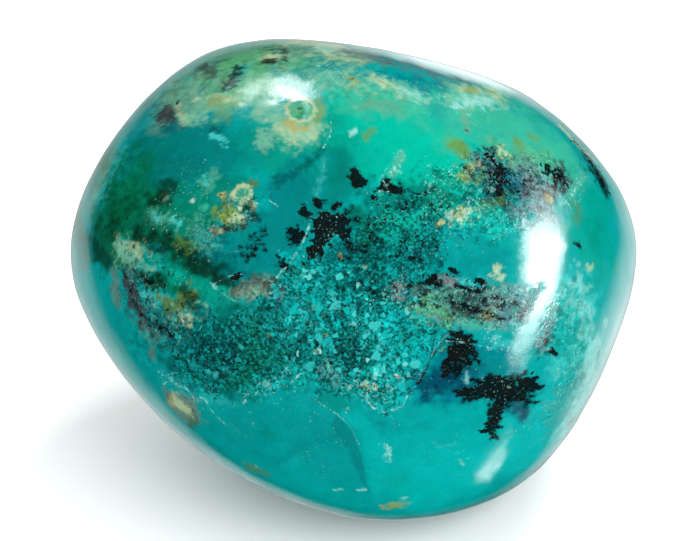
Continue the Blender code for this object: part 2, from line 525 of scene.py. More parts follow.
# %% The moss
lay_on({
    "soot of the moss": ("dark moss", path((153, 203), (166, 190)), 0.5, 0.8, 0.6, 0.9),
    "brown heart": ("umber", path((165, 197)), 0.25, 0.6, 0.7, 0.7),
    "pale in the heart": ("veil", path((166, 198)), 0.14, 0.7, 0.6),
    "dark pool of moss": ("dark moss", path((116, 224), (112, 232)), 0.45, 0.6, 0.8, 0.9),
    "dark root": ("dark moss", path((138, 237), (165, 243), (190, 254), (212, 270)), 0.5, 0.85, 0.7, 0.9),
    "dark root's end": ("dark moss", path((192, 262), (206, 278), (222, 284)), 0.45, 0.8, 0.6, 0.9),
    "olive on the root": ("lichen", path((180, 243), (190, 246)), 0.3, 0.5, 0.7, 0.9),
    "rim smear": ("dark moss", path((92, 240), (97, 254), (106, 262)), 0.55, 0.85, 0.7, 0.7),
    "ash on the rim": ("ash", path((82, 232), (86, 262)), 0.5, 0.7, 0.7, 0.7),
    "bright band": ("jade", path((122, 247), (147, 260), (172, 273), (208, 289), (228, 297)), 0.48, 0.95,
                    0.4, 0.6),
    "bright band's heart": ("turquoise", path((140, 258), (160, 268)), 0.3, 0.6, 0.8, 0.9),
    "cream on the band": ("cream", path((124, 246), (138, 251)), 0.34, 0.65, 0.6, 1.0),
    "pale on the band": ("pale mint", path((118, 252), (134, 262)), 0.32, 0.7, 0.6, 1.0),
    "blue black crumbs": ("navy", patch((124, 266), (138, 264), (144, 276), (136, 284), (126, 280)), 0.4, 0.7,
                          0.6, 1.0),
    "dark green under it": ("dark moss", path((144, 281), (160, 283)), 0.42, 0.95, 0.4, 0.8),
    "cyan crumbs": ("cyan", path((146, 296), (156, 300)), 0.34, 0.75, 0.5, 1.0),
    "cyan crumbs below": ("aqua", path((160, 308), (166, 316)), 0.3, 0.4, 0.6, 1.0),
    "plum root": ("plum", path((128, 284), (134, 300), (143, 318)), 0.5, 0.95, 0.5, 0.9),
    "brown by the plum": ("russet", path((114, 274), (116, 300)), 0.32, 0.5, 0.7, 0.8),
    "olive crumbs": ("olive", path((168, 308), (180, 300), (191, 298)), 0.5, 0.85, 0.5, 1.0),
    "dark crumbs": ("dark moss", path((186, 292), (199, 311)), 0.36, 0.75, 0.6, 1.0),
    "cream ring of crumbs": ("pale mint", ring_about((199, 311), 9, -110, 160), 0.06, 0.6, 0.6, 1.0),
    "cream pebble": ("cream", path((182, 318), (187, 323)), 0.36, 1.0, 0.4, 0.7),
    "yellow in the pebble": ("gold", path((184, 322)), 0.15, 0.7, 0.6),
    "black lilac crumbs": ("navy", patch((146, 320), (166, 316), (180, 326), (172, 338), (150, 336)), 0.4,
                           0.85, 0.5, 1.0),
    "lilac in them": ("violet grey", path((152, 330), (170, 330)), 0.28, 0.55, 0.5, 1.2),
    "brown thread": ("russet", path((153, 346), (152, 357)), 0.2, 0.55, 0.7, 0.9),
    "ice pores": ("sea green", path((152, 214), (158, 219), (175, 222)), 0.26, 0.7, 0.8, 1.2),
    "white pore": ("white", path((192, 201)), 0.1, 0.8, 0.5),
    "pale pores": ("sea green", path((203, 180), (208, 188), (214, 174)), 0.24, 0.7, 0.7, 1.1),
    "green pore": ("spring", path((204, 207)), 0.22, 0.6, 0.7),
    "cyan of the rim": ("aqua", path((122, 152), (108, 178), (100, 196)), 0.4, 0.7, 0.6, 1.0),
    "veil of the rim": ("veil", path((112, 158), (100, 184), (90, 208)), 0.35, 0.6, 0.8, 0.9),
    "pore snow": ("snow", path((150, 215), (176, 222)), 0.5, 0.8, 0.7, 1.0),
    "upper pore snow": ("snow", path((203, 172), (206, 190)), 0.5, 0.8, 0.7, 1.0),
    "lower pore snow": ("snow", path((188, 228), (205, 232), (206, 246)), 0.5, 0.9, 0.7, 1.0),
    "mossy snow": ("snow", path((205, 180), (160, 215), (200, 240)), 1.0, 0.25, 0.7, 0.9),
    "moss milk": ("milk", path((118, 246), (134, 256), (150, 262)), 0.5, 0.8, 0.7, 0.9),
    "crumb milk": ("milk", path((136, 290), (160, 302), (150, 330), (180, 318)), 0.7, 0.3, 0.7, 0.9),
    "moss shadows": ("soot", path((108, 232), (150, 240), (205, 268)), 0.7, 0.5, 0.8, 1.0),
    "band shadows": ("soot", path((130, 252), (172, 273), (228, 297)), 0.5, 0.35, 0.8, 0.9),
    "band snow": ("snow", path((122, 248), (150, 262), (190, 282)), 0.5, 0.35, 0.8, 0.9),
    "crumb snow": ("snow", path((125, 255), (150, 300), (165, 330)), 0.9, 0.4, 0.6, 0.9),
    "crumb soot": ("soot", path((128, 272), (138, 300), (160, 325), (190, 305)), 0.8, 0.65, 0.6, 0.9),
    "crumb grain": ("grain", path((128, 262), (138, 300), (160, 325), (190, 305)), 0.9, 0.3, 0.6, 0.9),
    "moss mottle": ("mottle", path((120, 190), (150, 240), (140, 300), (210, 250)), 2.4, 0.9, 0.6, 0.7),
    "pore cyan": ("cyan", path((154, 214), (157, 220)), 0.12, 0.8, 0.6, 1.2),
    "second pore cyan": ("cyan", path((173, 219), (179, 223)), 0.14, 0.8, 0.6, 1.2),
    "third pore cyan": ("cyan", path((204, 176), (207, 184)), 0.12, 0.7, 0.6, 1.4),
})

# %% [markdown]
# In the moss sits a nodule: an olive bean with two curls of cream crust on its right and a burnt lower
# edge. It lies inside the polished surface, so it is colour and not relief.

# %% The nodule
lay_on({
    "green haze": ("forest", path((225, 190), (240, 190)), 0.8, 0.5, 0.8, 0.8),
    "olive bean": ("lichen", patch((212, 212), (224, 203), (238, 203), (244, 214), (236, 226), (222, 222)),
                   0.35, 0.95, 0.5, 0.8),
    "ochre in the bean": ("ochre", path((228, 204), (226, 216)), 0.3, 0.4, 0.8, 1.0),
    "gold by the bean": ("gold", path((222, 195)), 0.2, 0.95, 0.4, 0.5),
    "olive dot": ("olive", path((250, 182), (254, 184)), 0.2, 0.85, 0.5, 0.8),
    "upper curl": ("cream", ring_about((242, 194), 8.5, 150, 380), 0.15, 0.9, 0.5, 0.9),
    "upper curl's green": ("veil green", path((242, 195)), 0.3, 0.7, 0.6),
    "lower curl": ("cream", ring_about((246, 207), 7, 170, 380), 0.14, 0.9, 0.5, 0.9),
    "lower curl's dark": ("moss", path((246, 209)), 0.2, 0.9, 0.5, 0.9),
    "cream foot": ("cream", path((231, 220), (238, 217), (243, 220)), 0.18, 0.9, 0.5, 0.9),
    "burnt edge": ("umber", path((226, 228), (240, 229), (251, 220)), 0.2, 0.9, 0.5, 1.1),
    "burnt side": ("dark moss", path((248, 204), (253, 214)), 0.22, 0.8, 0.6, 1.0),
    "rust": ("russet", path((212, 230), (216, 232)), 0.18, 0.85, 0.5, 0.8),
    "rust's cream": ("cream", path((221, 231)), 0.17, 0.8, 0.5),
    "pale crumbs": ("sea green", path((196, 226), (203, 236), (208, 244)), 0.4, 0.5, 0.8, 1.2),
    "nodule crumbs": ("snow", path((238, 196), (240, 220)), 0.6, 0.6, 0.6, 0.8),
    "nodule soot": ("soot", path((238, 200), (240, 222)), 0.6, 0.55, 0.6, 0.8),
    "nodule grain": ("grain", path((205, 238), (225, 212), (243, 200)), 0.8, 0.6, 0.6, 0.8),
})

# %% [markdown]
# The middle of the show face is a healed break. Splinters of bright turquoise, some pale as ice, lie in a
# paste of dark grains, and the whole is bounded by a ledge at the lower right. The ground is laid first,
# dark, then the textures say how coarse each part of it is. There are too many splinters to place by hand,
# so the brushes only say where they may lie.

# %% The broken zone
BREAK = patch((163, 318), (205, 322), (250, 303), (283, 268), (300, 256), (330, 262), (352, 240), (372, 206),
              (410, 196), (462, 190), (470, 205), (440, 232), (430, 262), (418, 282), (412, 310), (452, 328),
              (424, 368), (404, 400), (384, 411), (355, 396), (300, 384), (255, 394), (205, 396), (176, 372))
lay_on({
    "ground": ("teal", BREAK, 0.5, 1.0, 0.9, 1.2),
    "dark of the left": ("deep teal", path((180, 350), (230, 358), (262, 330)), 1.5, 1.0, 0.8, 0.8),
    "darkest": ("night teal", path((222, 360), (238, 362)), 0.9, 0.7, 0.9, 0.9),
    "green of the left": ("forest", path((250, 325), (262, 352), (245, 375)), 0.9, 0.5, 0.9, 1.0),
    "dark under the black": ("deep teal", path((350, 250), (400, 250), (420, 262)), 1.1, 0.7, 0.8, 1.0),
    "dark by the triangle": ("deep teal", path((385, 205), (420, 196)), 0.8, 0.7, 0.8, 1.0),
    "green paste": ("jade", path((395, 225), (440, 205)), 0.9, 0.85, 0.8, 1.0),
    "moss paste": ("moss", path((358, 215), (372, 235)), 0.5, 0.55, 0.8, 1.1),
    "second moss paste": ("forest", path((436, 192), (450, 184)), 0.6, 0.6, 0.8, 1.0),
    "light heart": ("lagoon", path((300, 300), (330, 296), (345, 310)), 0.9, 0.5, 0.8, 1.2),
    "second light": ("turquoise", path((396, 322), (420, 345), (390, 395)), 1.0, 0.85, 0.8, 1.2),
    "third light": ("lagoon", path((400, 262), (410, 272)), 0.5, 0.4, 0.8, 1.2),
    "black hollow": ("night teal", patch((336, 345), (362, 342), (368, 358), (350, 372), (336, 362)), 0.5,
                     0.75, 0.8, 1.2),
    "second hollow": ("night teal", path((352, 278), (365, 290)), 0.7, 0.6, 0.9, 1.2),
    "fringe": ("turquoise bright", path((252, 390), (275, 384), (300, 376)), 0.45, 0.5, 0.8, 1.2),
    "coarse fringe": ("aqua", path((205, 398), (225, 402)), 0.3, 0.4, 0.7, 1.2),
    "lilac patch": ("slate", patch((266, 290), (280, 286), (285, 296), (276, 304)), 0.3, 0.7, 0.6, 1.0),
    "cloudy patch": ("slate", path((325, 370), (334, 378)), 0.35, 0.5, 0.7, 1.0),
    "grains": ("grain", BREAK, 0.6, 1.0, 0.6, 1.0),
    "splinters": ("clast", patch((268, 300), (300, 262), (350, 262), (420, 300), (430, 345), (395, 405),
                                 (350, 392), (290, 372), (270, 340)), 0.7, 0.45, 0.7, 1.0),
    "thick of the splinters": ("clast", path((300, 285), (320, 320), (345, 318)), 1.1, 0.9, 0.7, 1.0),
    "splinters by the ledge": ("clast", path((375, 325), (392, 372)), 0.9, 0.9, 0.7, 1.0),
    "splinters of the right": ("clast", path((390, 270), (420, 240)), 0.8, 0.2, 0.7, 1.0),
    "splinters of the left": ("clast", path((190, 350), (250, 345)), 1.2, 0.2, 0.7, 1.0),
    "soot of the right": ("soot", path((352, 245), (395, 240), (428, 255)), 1.2, 0.8, 0.6, 1.0),
    "soot by the triangle": ("soot", path((385, 210), (425, 200)), 0.7, 0.8, 0.6, 1.0),
    "soot of the middle": ("soot", path((345, 355), (360, 285), (310, 335)), 0.9, 0.7, 0.6, 1.0),
    "soot of the left": ("soot", path((190, 345), (240, 350)), 1.2, 0.4, 0.7, 1.0),
    "snow of the top": ("snow", path((385, 205), (425, 215), (445, 240)), 0.9, 0.3, 0.7, 1.0),
    "snow of the middle": ("snow", path((300, 300), (360, 330), (390, 380)), 1.5, 0.25, 0.7, 1.0),
    "snow of the foot": ("snow", path((350, 385), (372, 398), (400, 385)), 0.6, 0.6, 0.6, 1.0),
    "snow of the corner": ("snow", path((170, 378), (188, 388), (212, 402)), 0.5, 0.75, 0.7, 1.2),
    "snow under the corner": ("snow", path((190, 392), (222, 412), (240, 430)), 0.6, 0.5, 0.8, 1.2),
    "snow of the fringe": ("snow", path((245, 400), (256, 392), (290, 378)), 0.4, 0.75, 0.7, 1.2),
})

# %% [markdown]
# The material draws most splinters by chance. A few are so large and bright that they would be missed, and
# chance can't be told where to put them, so each is a small patch, listed one by one.

# %% Splinters that stand out
lay_on({
    "pale splinter": ("sea green", patch((311, 305), (318, 304), (321, 309), (314, 313)), 0.08, 0.9, 0.4,
                      0.8),
    "white splinter": ("ice", patch((313, 349), (320, 348), (323, 353), (315, 354)), 0.07, 0.8, 0.4, 0.9),
    "long splinter": ("sea green", patch((325, 360), (330, 361), (331, 371), (327, 371)), 0.07, 0.7, 0.5,
                      0.9),
    "bright splinter": ("cyan", patch((373, 367), (383, 365), (388, 371), (381, 377), (374, 375)), 0.08,
                        0.9, 0.4, 0.7),
    "white crumb": ("white", path((396, 378)), 0.14, 0.8, 0.5, 1.2),
    "second crumb": ("ice", path((348, 388)), 0.12, 0.7, 0.5, 1.2),
    "third crumb": ("cream", path((366, 386), (374, 388)), 0.14, 0.6, 0.6, 1.2),
    "triangle splinter": ("aqua", patch((379, 334), (376, 349), (383, 350), (386, 341)), 0.06, 0.95, 0.4,
                          0.6),
    "hooked splinter": ("turquoise bright", patch((383, 322), (391, 320), (392, 330), (385, 334)), 0.07,
                        0.95, 0.4, 0.6),
    "blunt splinter": ("aqua", patch((298, 309), (304, 307), (307, 314), (301, 318)), 0.07, 0.8, 0.4, 0.7),
    "splinter by the vein": ("cyan", patch((301, 274), (311, 270), (312, 275), (303, 279)), 0.06, 0.9, 0.4,
                             0.8),
    "splinter of the left": ("turquoise bright", patch((284, 315), (291, 316), (290, 324), (285, 322)),
                             0.07, 0.9, 0.4, 0.7),
    "splinter of the middle": ("turquoise bright", patch((331, 317), (338, 320), (340, 327), (332, 324)),
                               0.07, 0.95, 0.4, 0.7),
    "splinter under it": ("turquoise bright", patch((309, 336), (316, 341), (312, 348), (308, 345)), 0.07,
                          0.9, 0.4, 0.7),
    "splinter of the foot": ("turquoise bright", patch((349, 370), (358, 370), (354, 378), (349, 377)),
                             0.07, 0.9, 0.4, 0.7),
    "beige grain": ("gold", path((340, 257)), 0.14, 0.7, 0.5, 0.7),
    "orange grain": ("olive", path((324, 336)), 0.13, 0.9, 0.5, 0.7),
    "second orange grain": ("russet", path((270, 336)), 0.09, 0.7, 0.6, 0.7),
    "cream specks": ("cream", path((364, 267)), 0.08, 0.6, 0.6),
})

# %% [markdown]
# Foreign pieces got caught in the break: a grey lozenge on its left, a rose-grey bean and a long band of
# grey, olive and brown on its right, and a cream pebble down by the foot. They could be modelled as bodies
# of their own, but the polish has cut them level with the rest. So each is a patch, with darker and lighter
# strokes on it.

# %% Caught pieces
lay_on({
    "lozenge": ("ash", patch((228, 294), (242, 281), (262, 275), (275, 279), (268, 292), (246, 301)), 0.2,
                0.9, 0.6, 0.9),
    "its dark half": ("umber", path((234, 292), (250, 281), (258, 279)), 0.24, 0.5, 0.9, 1.0),
    "its rust": ("umber", path((264, 284), (272, 281)), 0.2, 0.8, 0.6, 0.9),
    "its light": ("veil", path((244, 296), (256, 291)), 0.16, 0.5, 0.8, 1.2),
    "lozenge grain": ("grain", path((236, 292), (266, 283)), 0.5, 0.5, 0.5, 0.8),
    "bean": ("rose grey", patch((388, 286), (398, 281), (408, 286), (406, 298), (394, 300)), 0.25, 0.6, 0.7,
             1.2),
    "grey band": ("ash", patch((410, 290), (440, 290), (470, 288), (500, 286), (521, 292), (516, 316),
                               (500, 326), (470, 322), (440, 322), (418, 312)), 0.4, 0.7, 0.7, 1.2),
    "dark of the band": ("umber", path((424, 292), (450, 292), (470, 296)), 0.4, 0.5, 0.7, 1.2),
    "rose triangle": ("rose grey", patch((436, 278), (448, 273), (459, 279), (456, 288), (446, 285)), 0.2,
                      0.9, 0.6, 1.0),
    "olive in the band": ("veil green", path((420, 306), (445, 312)), 0.5, 0.6, 0.7, 1.1),
    "pale in the band": ("sea green", path((452, 300), (440, 302)), 0.4, 0.4, 0.7, 1.1),
    "brown in the band": ("umber", path((454, 306), (468, 310), (482, 312)), 0.42, 0.85, 0.6, 1.1),
    "beige in the band": ("gold", path((488, 314), (494, 311)), 0.22, 0.6, 0.7, 1.0),
    "lower lip": ("sea green", path((462, 324), (482, 326), (500, 328)), 0.26, 0.7, 0.7, 0.9),
    "white crystals": ("slate", path((496, 296), (512, 302), (504, 320)), 0.5, 0.7, 0.7, 1.2),
    "cyan beside the band": ("cyan", path((463, 281), (474, 284)), 0.15, 0.8, 0.6, 1.0),
    "dark diagonal": ("deep teal", path((540, 287), (530, 300), (520, 320)), 0.3, 0.9, 0.6, 1.1),
    "grey streak": ("night teal", path((554, 310), (548, 328), (543, 348)), 0.38, 0.7, 0.7, 1.0),
    "band grain": ("grain", patch((388, 284), (440, 272), (520, 290), (500, 328), (420, 320)), 0.5, 0.6,
                   0.6, 0.8),
    "bean snow": ("snow", path((392, 288), (404, 292), (400, 300)), 0.5, 0.7, 0.7, 1.0),
    "band snow": ("snow", path((410, 292), (440, 295), (505, 300)), 0.8, 0.45, 0.6, 1.0),
    "right snow": ("snow", path((500, 290), (515, 310), (500, 325)), 0.7, 0.7, 0.6, 0.9),
    "band soot": ("soot", path((398, 290), (425, 296), (470, 300), (515, 305)), 0.8, 0.9, 0.6, 0.9),
    "foot pebble": ("ash", patch((166, 398), (178, 392), (196, 402), (200, 420), (190, 427), (174, 414)),
                    0.3, 0.9, 0.6, 1.0),
    "cream of the pebble": ("cream", path((176, 400), (184, 410)), 0.45, 0.7, 0.6, 1.0),
    "brown of the pebble": ("russet", path((168, 394), (171, 402)), 0.26, 0.6, 0.7, 0.9),
    "green of the pebble": ("moss", path((194, 420), (190, 426)), 0.26, 0.5, 0.7, 0.9),
    "pebble soot": ("soot", path((188, 402), (197, 416)), 0.45, 0.5, 0.6, 0.9),
})

# %% [markdown]
# Where the break dips at the lower right there is a deep: clear blue over black growths. Clear stone would
# need light that travels inside it, which is slow to render. Dark blue gives the depth instead, with lighter
# places painted over it as that light coming up through the clear stone.

# %% The blue deep
lay_on({
    "deep": ("sea blue", patch((462, 334), (512, 344), (520, 372), (500, 384), (462, 400), (420, 400),
                               (420, 382), (445, 345)), 0.7, 0.8, 0.9, 0.7),
    "deepest": ("dark sea", path((426, 384), (448, 378), (466, 366)), 0.75, 0.95, 0.8, 0.8),
    "navy": ("navy", path((452, 372), (462, 368)), 0.4, 0.8, 0.8, 0.9),
    "navy dot": ("navy", path((435, 388)), 0.14, 0.7, 0.6, 0.7),
    # Painted light: lighter places over the dark blue, for light that comes up through the clear stone.
    "clear window": ("lagoon", path((482, 360), (504, 366)), 0.6, 0.75, 0.9, 0.8),
    "turquoise over it": ("turquoise", path((478, 338), (512, 337)), 0.36, 0.8, 0.7, 0.9),
    "pale dash": ("ice", path((467, 372), (467, 383)), 0.09, 0.6, 0.6, 1.0),
    "cyan shelf": ("cyan", path((498, 344), (514, 345)), 0.22, 0.5, 0.7, 1.1),
    "cyan of the shelf": ("snow", path((490, 343), (516, 346)), 0.4, 0.8, 0.6, 0.9),
    "dust over the deep": ("snow", path((450, 366), (500, 392)), 0.9, 0.15, 0.8, 0.9),
})

# %% [markdown]
# Upper right, navy, ice and black crumbs lie thick under a grey haze, with two streaks of gold in them. The
# haze is painted reflection: the dim top of the window's shine, spread wide where the polish is duller. The
# far right is clouded with pale sea green. The haze is laid after the dark ground and lets it show through.

# %% The dark right
lay_on({
    "dusk": ("teal", patch((462, 168), (488, 150), (520, 160), (545, 185), (530, 210), (500, 210),
                           (478, 205)), 0.7, 0.9, 0.8, 1.0),
    "navy dusk": ("dark sea", path((494, 182), (515, 182), (520, 190)), 0.75, 0.9, 0.7, 1.1),
    "black of the dusk": ("night teal", path((490, 166), (500, 178), (498, 196)), 0.4, 0.8, 0.7, 1.3),
    "blue glints": ("sea blue", path((508, 174), (518, 184)), 0.4, 0.7, 0.7, 1.1),
    # Painted reflection: grey fog for the dim top of the window's shine, down to its foot.
    "haze": ("fog", path((528, 168), (540, 186), (536, 205), (548, 215)), 0.8, 0.75, 0.8, 0.8),
    "foot of the haze": ("fog", path((520, 214), (526, 226)), 0.5, 0.5, 0.9, 0.9),
    "shadow in the haze": ("plum", path((536, 188), (544, 192)), 0.4, 0.6, 0.8, 1.2),
    "green haze over it": ("veil green", path((506, 152), (545, 160)), 0.7, 0.5, 0.9, 0.9),
    "olive haze": ("olive", path((486, 206), (500, 200)), 0.36, 0.45, 0.8, 1.0),
    "gold streak": ("gold", path((477, 163), (470, 170), (466, 178)), 0.2, 0.7, 0.6, 1.2),
    "green by the gold": ("lichen", path((466, 176), (480, 178)), 0.4, 0.5, 0.8, 1.0),
    "grey lump": ("plum", patch((483, 152), (494, 149), (500, 154), (488, 158)), 0.2, 0.85, 0.6, 0.9),
    "cream by the lump": ("cream", path((501, 149), (505, 154)), 0.24, 0.85, 0.6, 0.9),
    "grey crumbs": ("violet grey", path((478, 160), (492, 164)), 0.4, 0.4, 0.7, 1.2),
    "purple patch": ("plum", patch((556, 163), (561, 164), (571, 177), (572, 190), (560, 192), (555, 180)),
                     0.3, 0.9, 0.6, 1.1),
    "beige grain right": ("gold", path((546, 196), (550, 198)), 0.22, 0.75, 0.6, 0.8),
    "pale root": ("sea green", path((568, 201), (574, 190), (582, 176)), 0.26, 0.7, 0.7, 1.3),
    "gold green": ("olive", path((576, 208), (577, 220)), 0.3, 0.45, 0.8, 0.9),
    "cream gold field": ("pale mint", patch((449, 218), (460, 210), (476, 206), (478, 214), (464, 223)),
                         0.3, 0.85, 0.7, 1.1),
    "gold in the field": ("gold", path((451, 218), (464, 210)), 0.2, 0.7, 0.7, 1.1),
    "orange dot": ("gold", path((438, 225), (442, 222)), 0.12, 0.85, 0.5, 0.8),
    "clear pool": ("lagoon", path((455, 257), (490, 260)), 0.9, 0.9, 0.6, 0.8),
    "rim scab": ("umber", path((584, 154), (588, 160)), 0.3, 0.7, 0.6, 0.9),
    "cream of the rim": ("cream", path((562, 128), (578, 144), (592, 158)), 0.24, 0.7, 0.6, 0.9),
    "rim black": ("night teal", path((590, 168), (600, 178), (604, 190)), 0.5, 0.85, 0.6, 0.9),
    "rim rust": ("russet", path((619, 204)), 0.2, 0.6, 0.6),
    "green of the flank": ("forest", path((596, 228), (594, 236)), 0.5, 0.3, 0.9),
    "cream star": ("cream", path((497, 270), (500, 276)), 0.22, 0.75, 0.5, 1.1),
    "cream dot of the flank": ("cream", path((588, 268), (591, 266)), 0.17, 0.65, 0.5, 0.9),
    "pale dapples": ("cyan", path((566, 292), (582, 300)), 0.8, 0.5, 0.7, 1.3),
    "ice dapples": ("ice", path((574, 294), (590, 336)), 0.6, 0.45, 0.6, 1.6),
    "green dapples": ("jade", path((566, 312), (586, 372)), 0.9, 0.35, 0.8, 1.4),
    "bright dapple": ("cyan", path((562, 360), (585, 350)), 0.7, 0.5, 0.8, 1.2),
    "brown haze": ("ash", path((572, 384), (562, 400), (560, 418)), 0.8, 0.25, 0.9, 1.2),
    "pale flank": ("ice", path((594, 350), (588, 386), (570, 420)), 0.7, 0.45, 0.9, 1.2),
    "rust on the flank": ("russet", path((567, 425), (572, 420)), 0.24, 0.5, 0.7, 0.9),
    "dusk grain": ("grain", patch((440, 172), (488, 148), (560, 165), (560, 215), (500, 240), (440, 240)),
                   0.7, 0.7, 0.7, 0.9),
    "dusk snow": ("snow", path((450, 190), (500, 175), (540, 190), (530, 230)), 1.1, 0.5, 0.7, 0.9),
    "dusk mottle": ("mottle", path((470, 190), (500, 175), (545, 185)), 1.4, 0.8, 0.7, 0.9),
    "flank mottle": ("mottle", path((566, 292), (584, 340), (570, 400)), 1.4, 0.6, 0.7, 0.9),
    "upper snow": ("snow", path((430, 182), (450, 177), (466, 164)), 0.5, 0.6, 0.7, 1.0),
    "dusk soot": ("soot", path((480, 165), (500, 190), (510, 180), (545, 185)), 0.8, 0.9, 0.6, 0.9),
    "rim soot": ("soot", path((576, 142), (592, 160), (604, 188)), 0.45, 0.9, 0.7, 0.9),
    "field snow": ("snow", path((450, 215), (475, 210)), 0.4, 0.9, 0.6, 0.9),
    "flank snow": ("snow", path((560, 300), (578, 340), (566, 400)), 1.2, 0.55, 0.8, 0.9),
    "flank grain": ("grain", path((560, 310), (575, 350), (565, 400)), 1.2, 0.35, 0.8, 0.9),
    "purple grain": ("snow", path((562, 168), (566, 188)), 0.5, 0.5, 0.6, 0.9),
    "root snow": ("snow", path((566, 204), (574, 190), (584, 174)), 0.4, 0.9, 0.7, 1.0),
})

# %% [markdown]
# A fracture runs down the clear foot and darkens the stone on its left. Small white feathers and two olive
# stains hang beside it. On the right of the foot, light gathers in the clear stone; that light is painted, as
# brighter turquoise there and at the low foot. A crack cut deep into the mesh would look broken, and the
# real one is healed. So its two sides are painted unlike each other.

# %% The clear foot
lay_on({
    "left of the fracture": ("lagoon", patch((338, 416), (352, 432), (362, 456), (371, 505), (330, 495),
                                             (300, 470), (300, 430)), 0.5, 0.6, 0.6, 0.5),
    "shade of the fracture": ("lagoon dark", patch((337, 415), (352, 432), (362, 456), (371, 500), (360, 480),
                                                   (348, 450), (330, 425)), 0.12, 0.95, 0.6, 0.5),
    "upper shade": ("lagoon dark", patch((314, 389), (352, 395), (338, 413), (318, 403)), 0.2, 0.75, 0.7,
                    0.9),
    "olive of the shade": ("jade", path((328, 406), (340, 404)), 0.4, 0.4, 0.9),
    # Painted light: brighter turquoise where light gathers in the clear stone, right of the fracture and at
    # the low foot.
    "light right of it": ("turquoise bright", patch((342, 414), (356, 430), (366, 456), (376, 500),
                                                    (392, 480), (384, 440), (366, 414)), 0.3, 0.5, 0.9, 0.5),
    "light of the low foot": ("turquoise", path((316, 482), (345, 494)), 0.8, 0.7, 0.9, 0.7),
    "olive stain": ("olive", path((250, 468), (262, 472)), 0.34, 0.6, 0.8, 0.9),
    "white on the stain": ("ice", path((257, 467)), 0.08, 0.7, 0.6),
    "faint stain": ("forest", path((266, 433), (270, 434)), 0.36, 0.3, 0.9),
    "ochre by the foot": ("ochre", path((386, 507), (400, 505)), 0.26, 0.75, 0.7, 1.2),
    "white by the foot": ("ice", path((403, 499), (408, 497)), 0.09, 0.7, 0.6, 1.2),
    "green of the foot": ("jade", path((390, 478), (405, 492)), 0.8, 0.35, 0.9),
    "feather left": ("ice", path((388, 448), (391, 459)), 0.06, 0.55, 0.8, 1.5),
    "feather thread": ("aqua", path((434, 443), (440, 447), (454, 445)), 0.06, 0.6, 0.8, 1.5),
    "feather right": ("ice", path((459, 460), (463, 465)), 0.06, 0.5, 0.8, 1.5),
    "dash left": ("ice", path((335, 490), (341, 490)), 0.05, 0.7, 0.8, 1.5),
    "dash right": ("ice", path((358, 491), (366, 490)), 0.05, 0.7, 0.8, 1.5),
    "shade across": ("lagoon dark", path((278, 463), (300, 448), (345, 431)), 0.2, 0.45, 0.9, 0.8),
    "second shade across": ("lagoon", path((395, 428), (430, 424)), 0.3, 0.5, 0.9, 0.8),
    "scattered snow": ("snow", path((215, 415), (290, 405), (330, 430)), 1.0, 0.12, 0.8, 0.9),
    "foot snow": ("snow", path((305, 455), (335, 475)), 0.6, 0.2, 0.8, 0.9),
    "feather snow": ("snow", path((388, 446), (391, 459)), 0.25, 0.8, 0.8, 0.9),
    "right foot snow": ("snow", path((432, 443), (455, 446), (462, 468)), 0.5, 0.2, 0.8, 0.9),
    "far foot snow": ("snow", path((505, 440), (540, 430), (520, 470)), 0.9, 0.2, 0.8, 0.9),
})

# %% [markdown]
# The black is manganese that grew like frost along cracks. It could be cut from noise, but noise makes no
# lump in a chosen place. Solid lumps are patches, and scattered dots are thin paths that wander far.

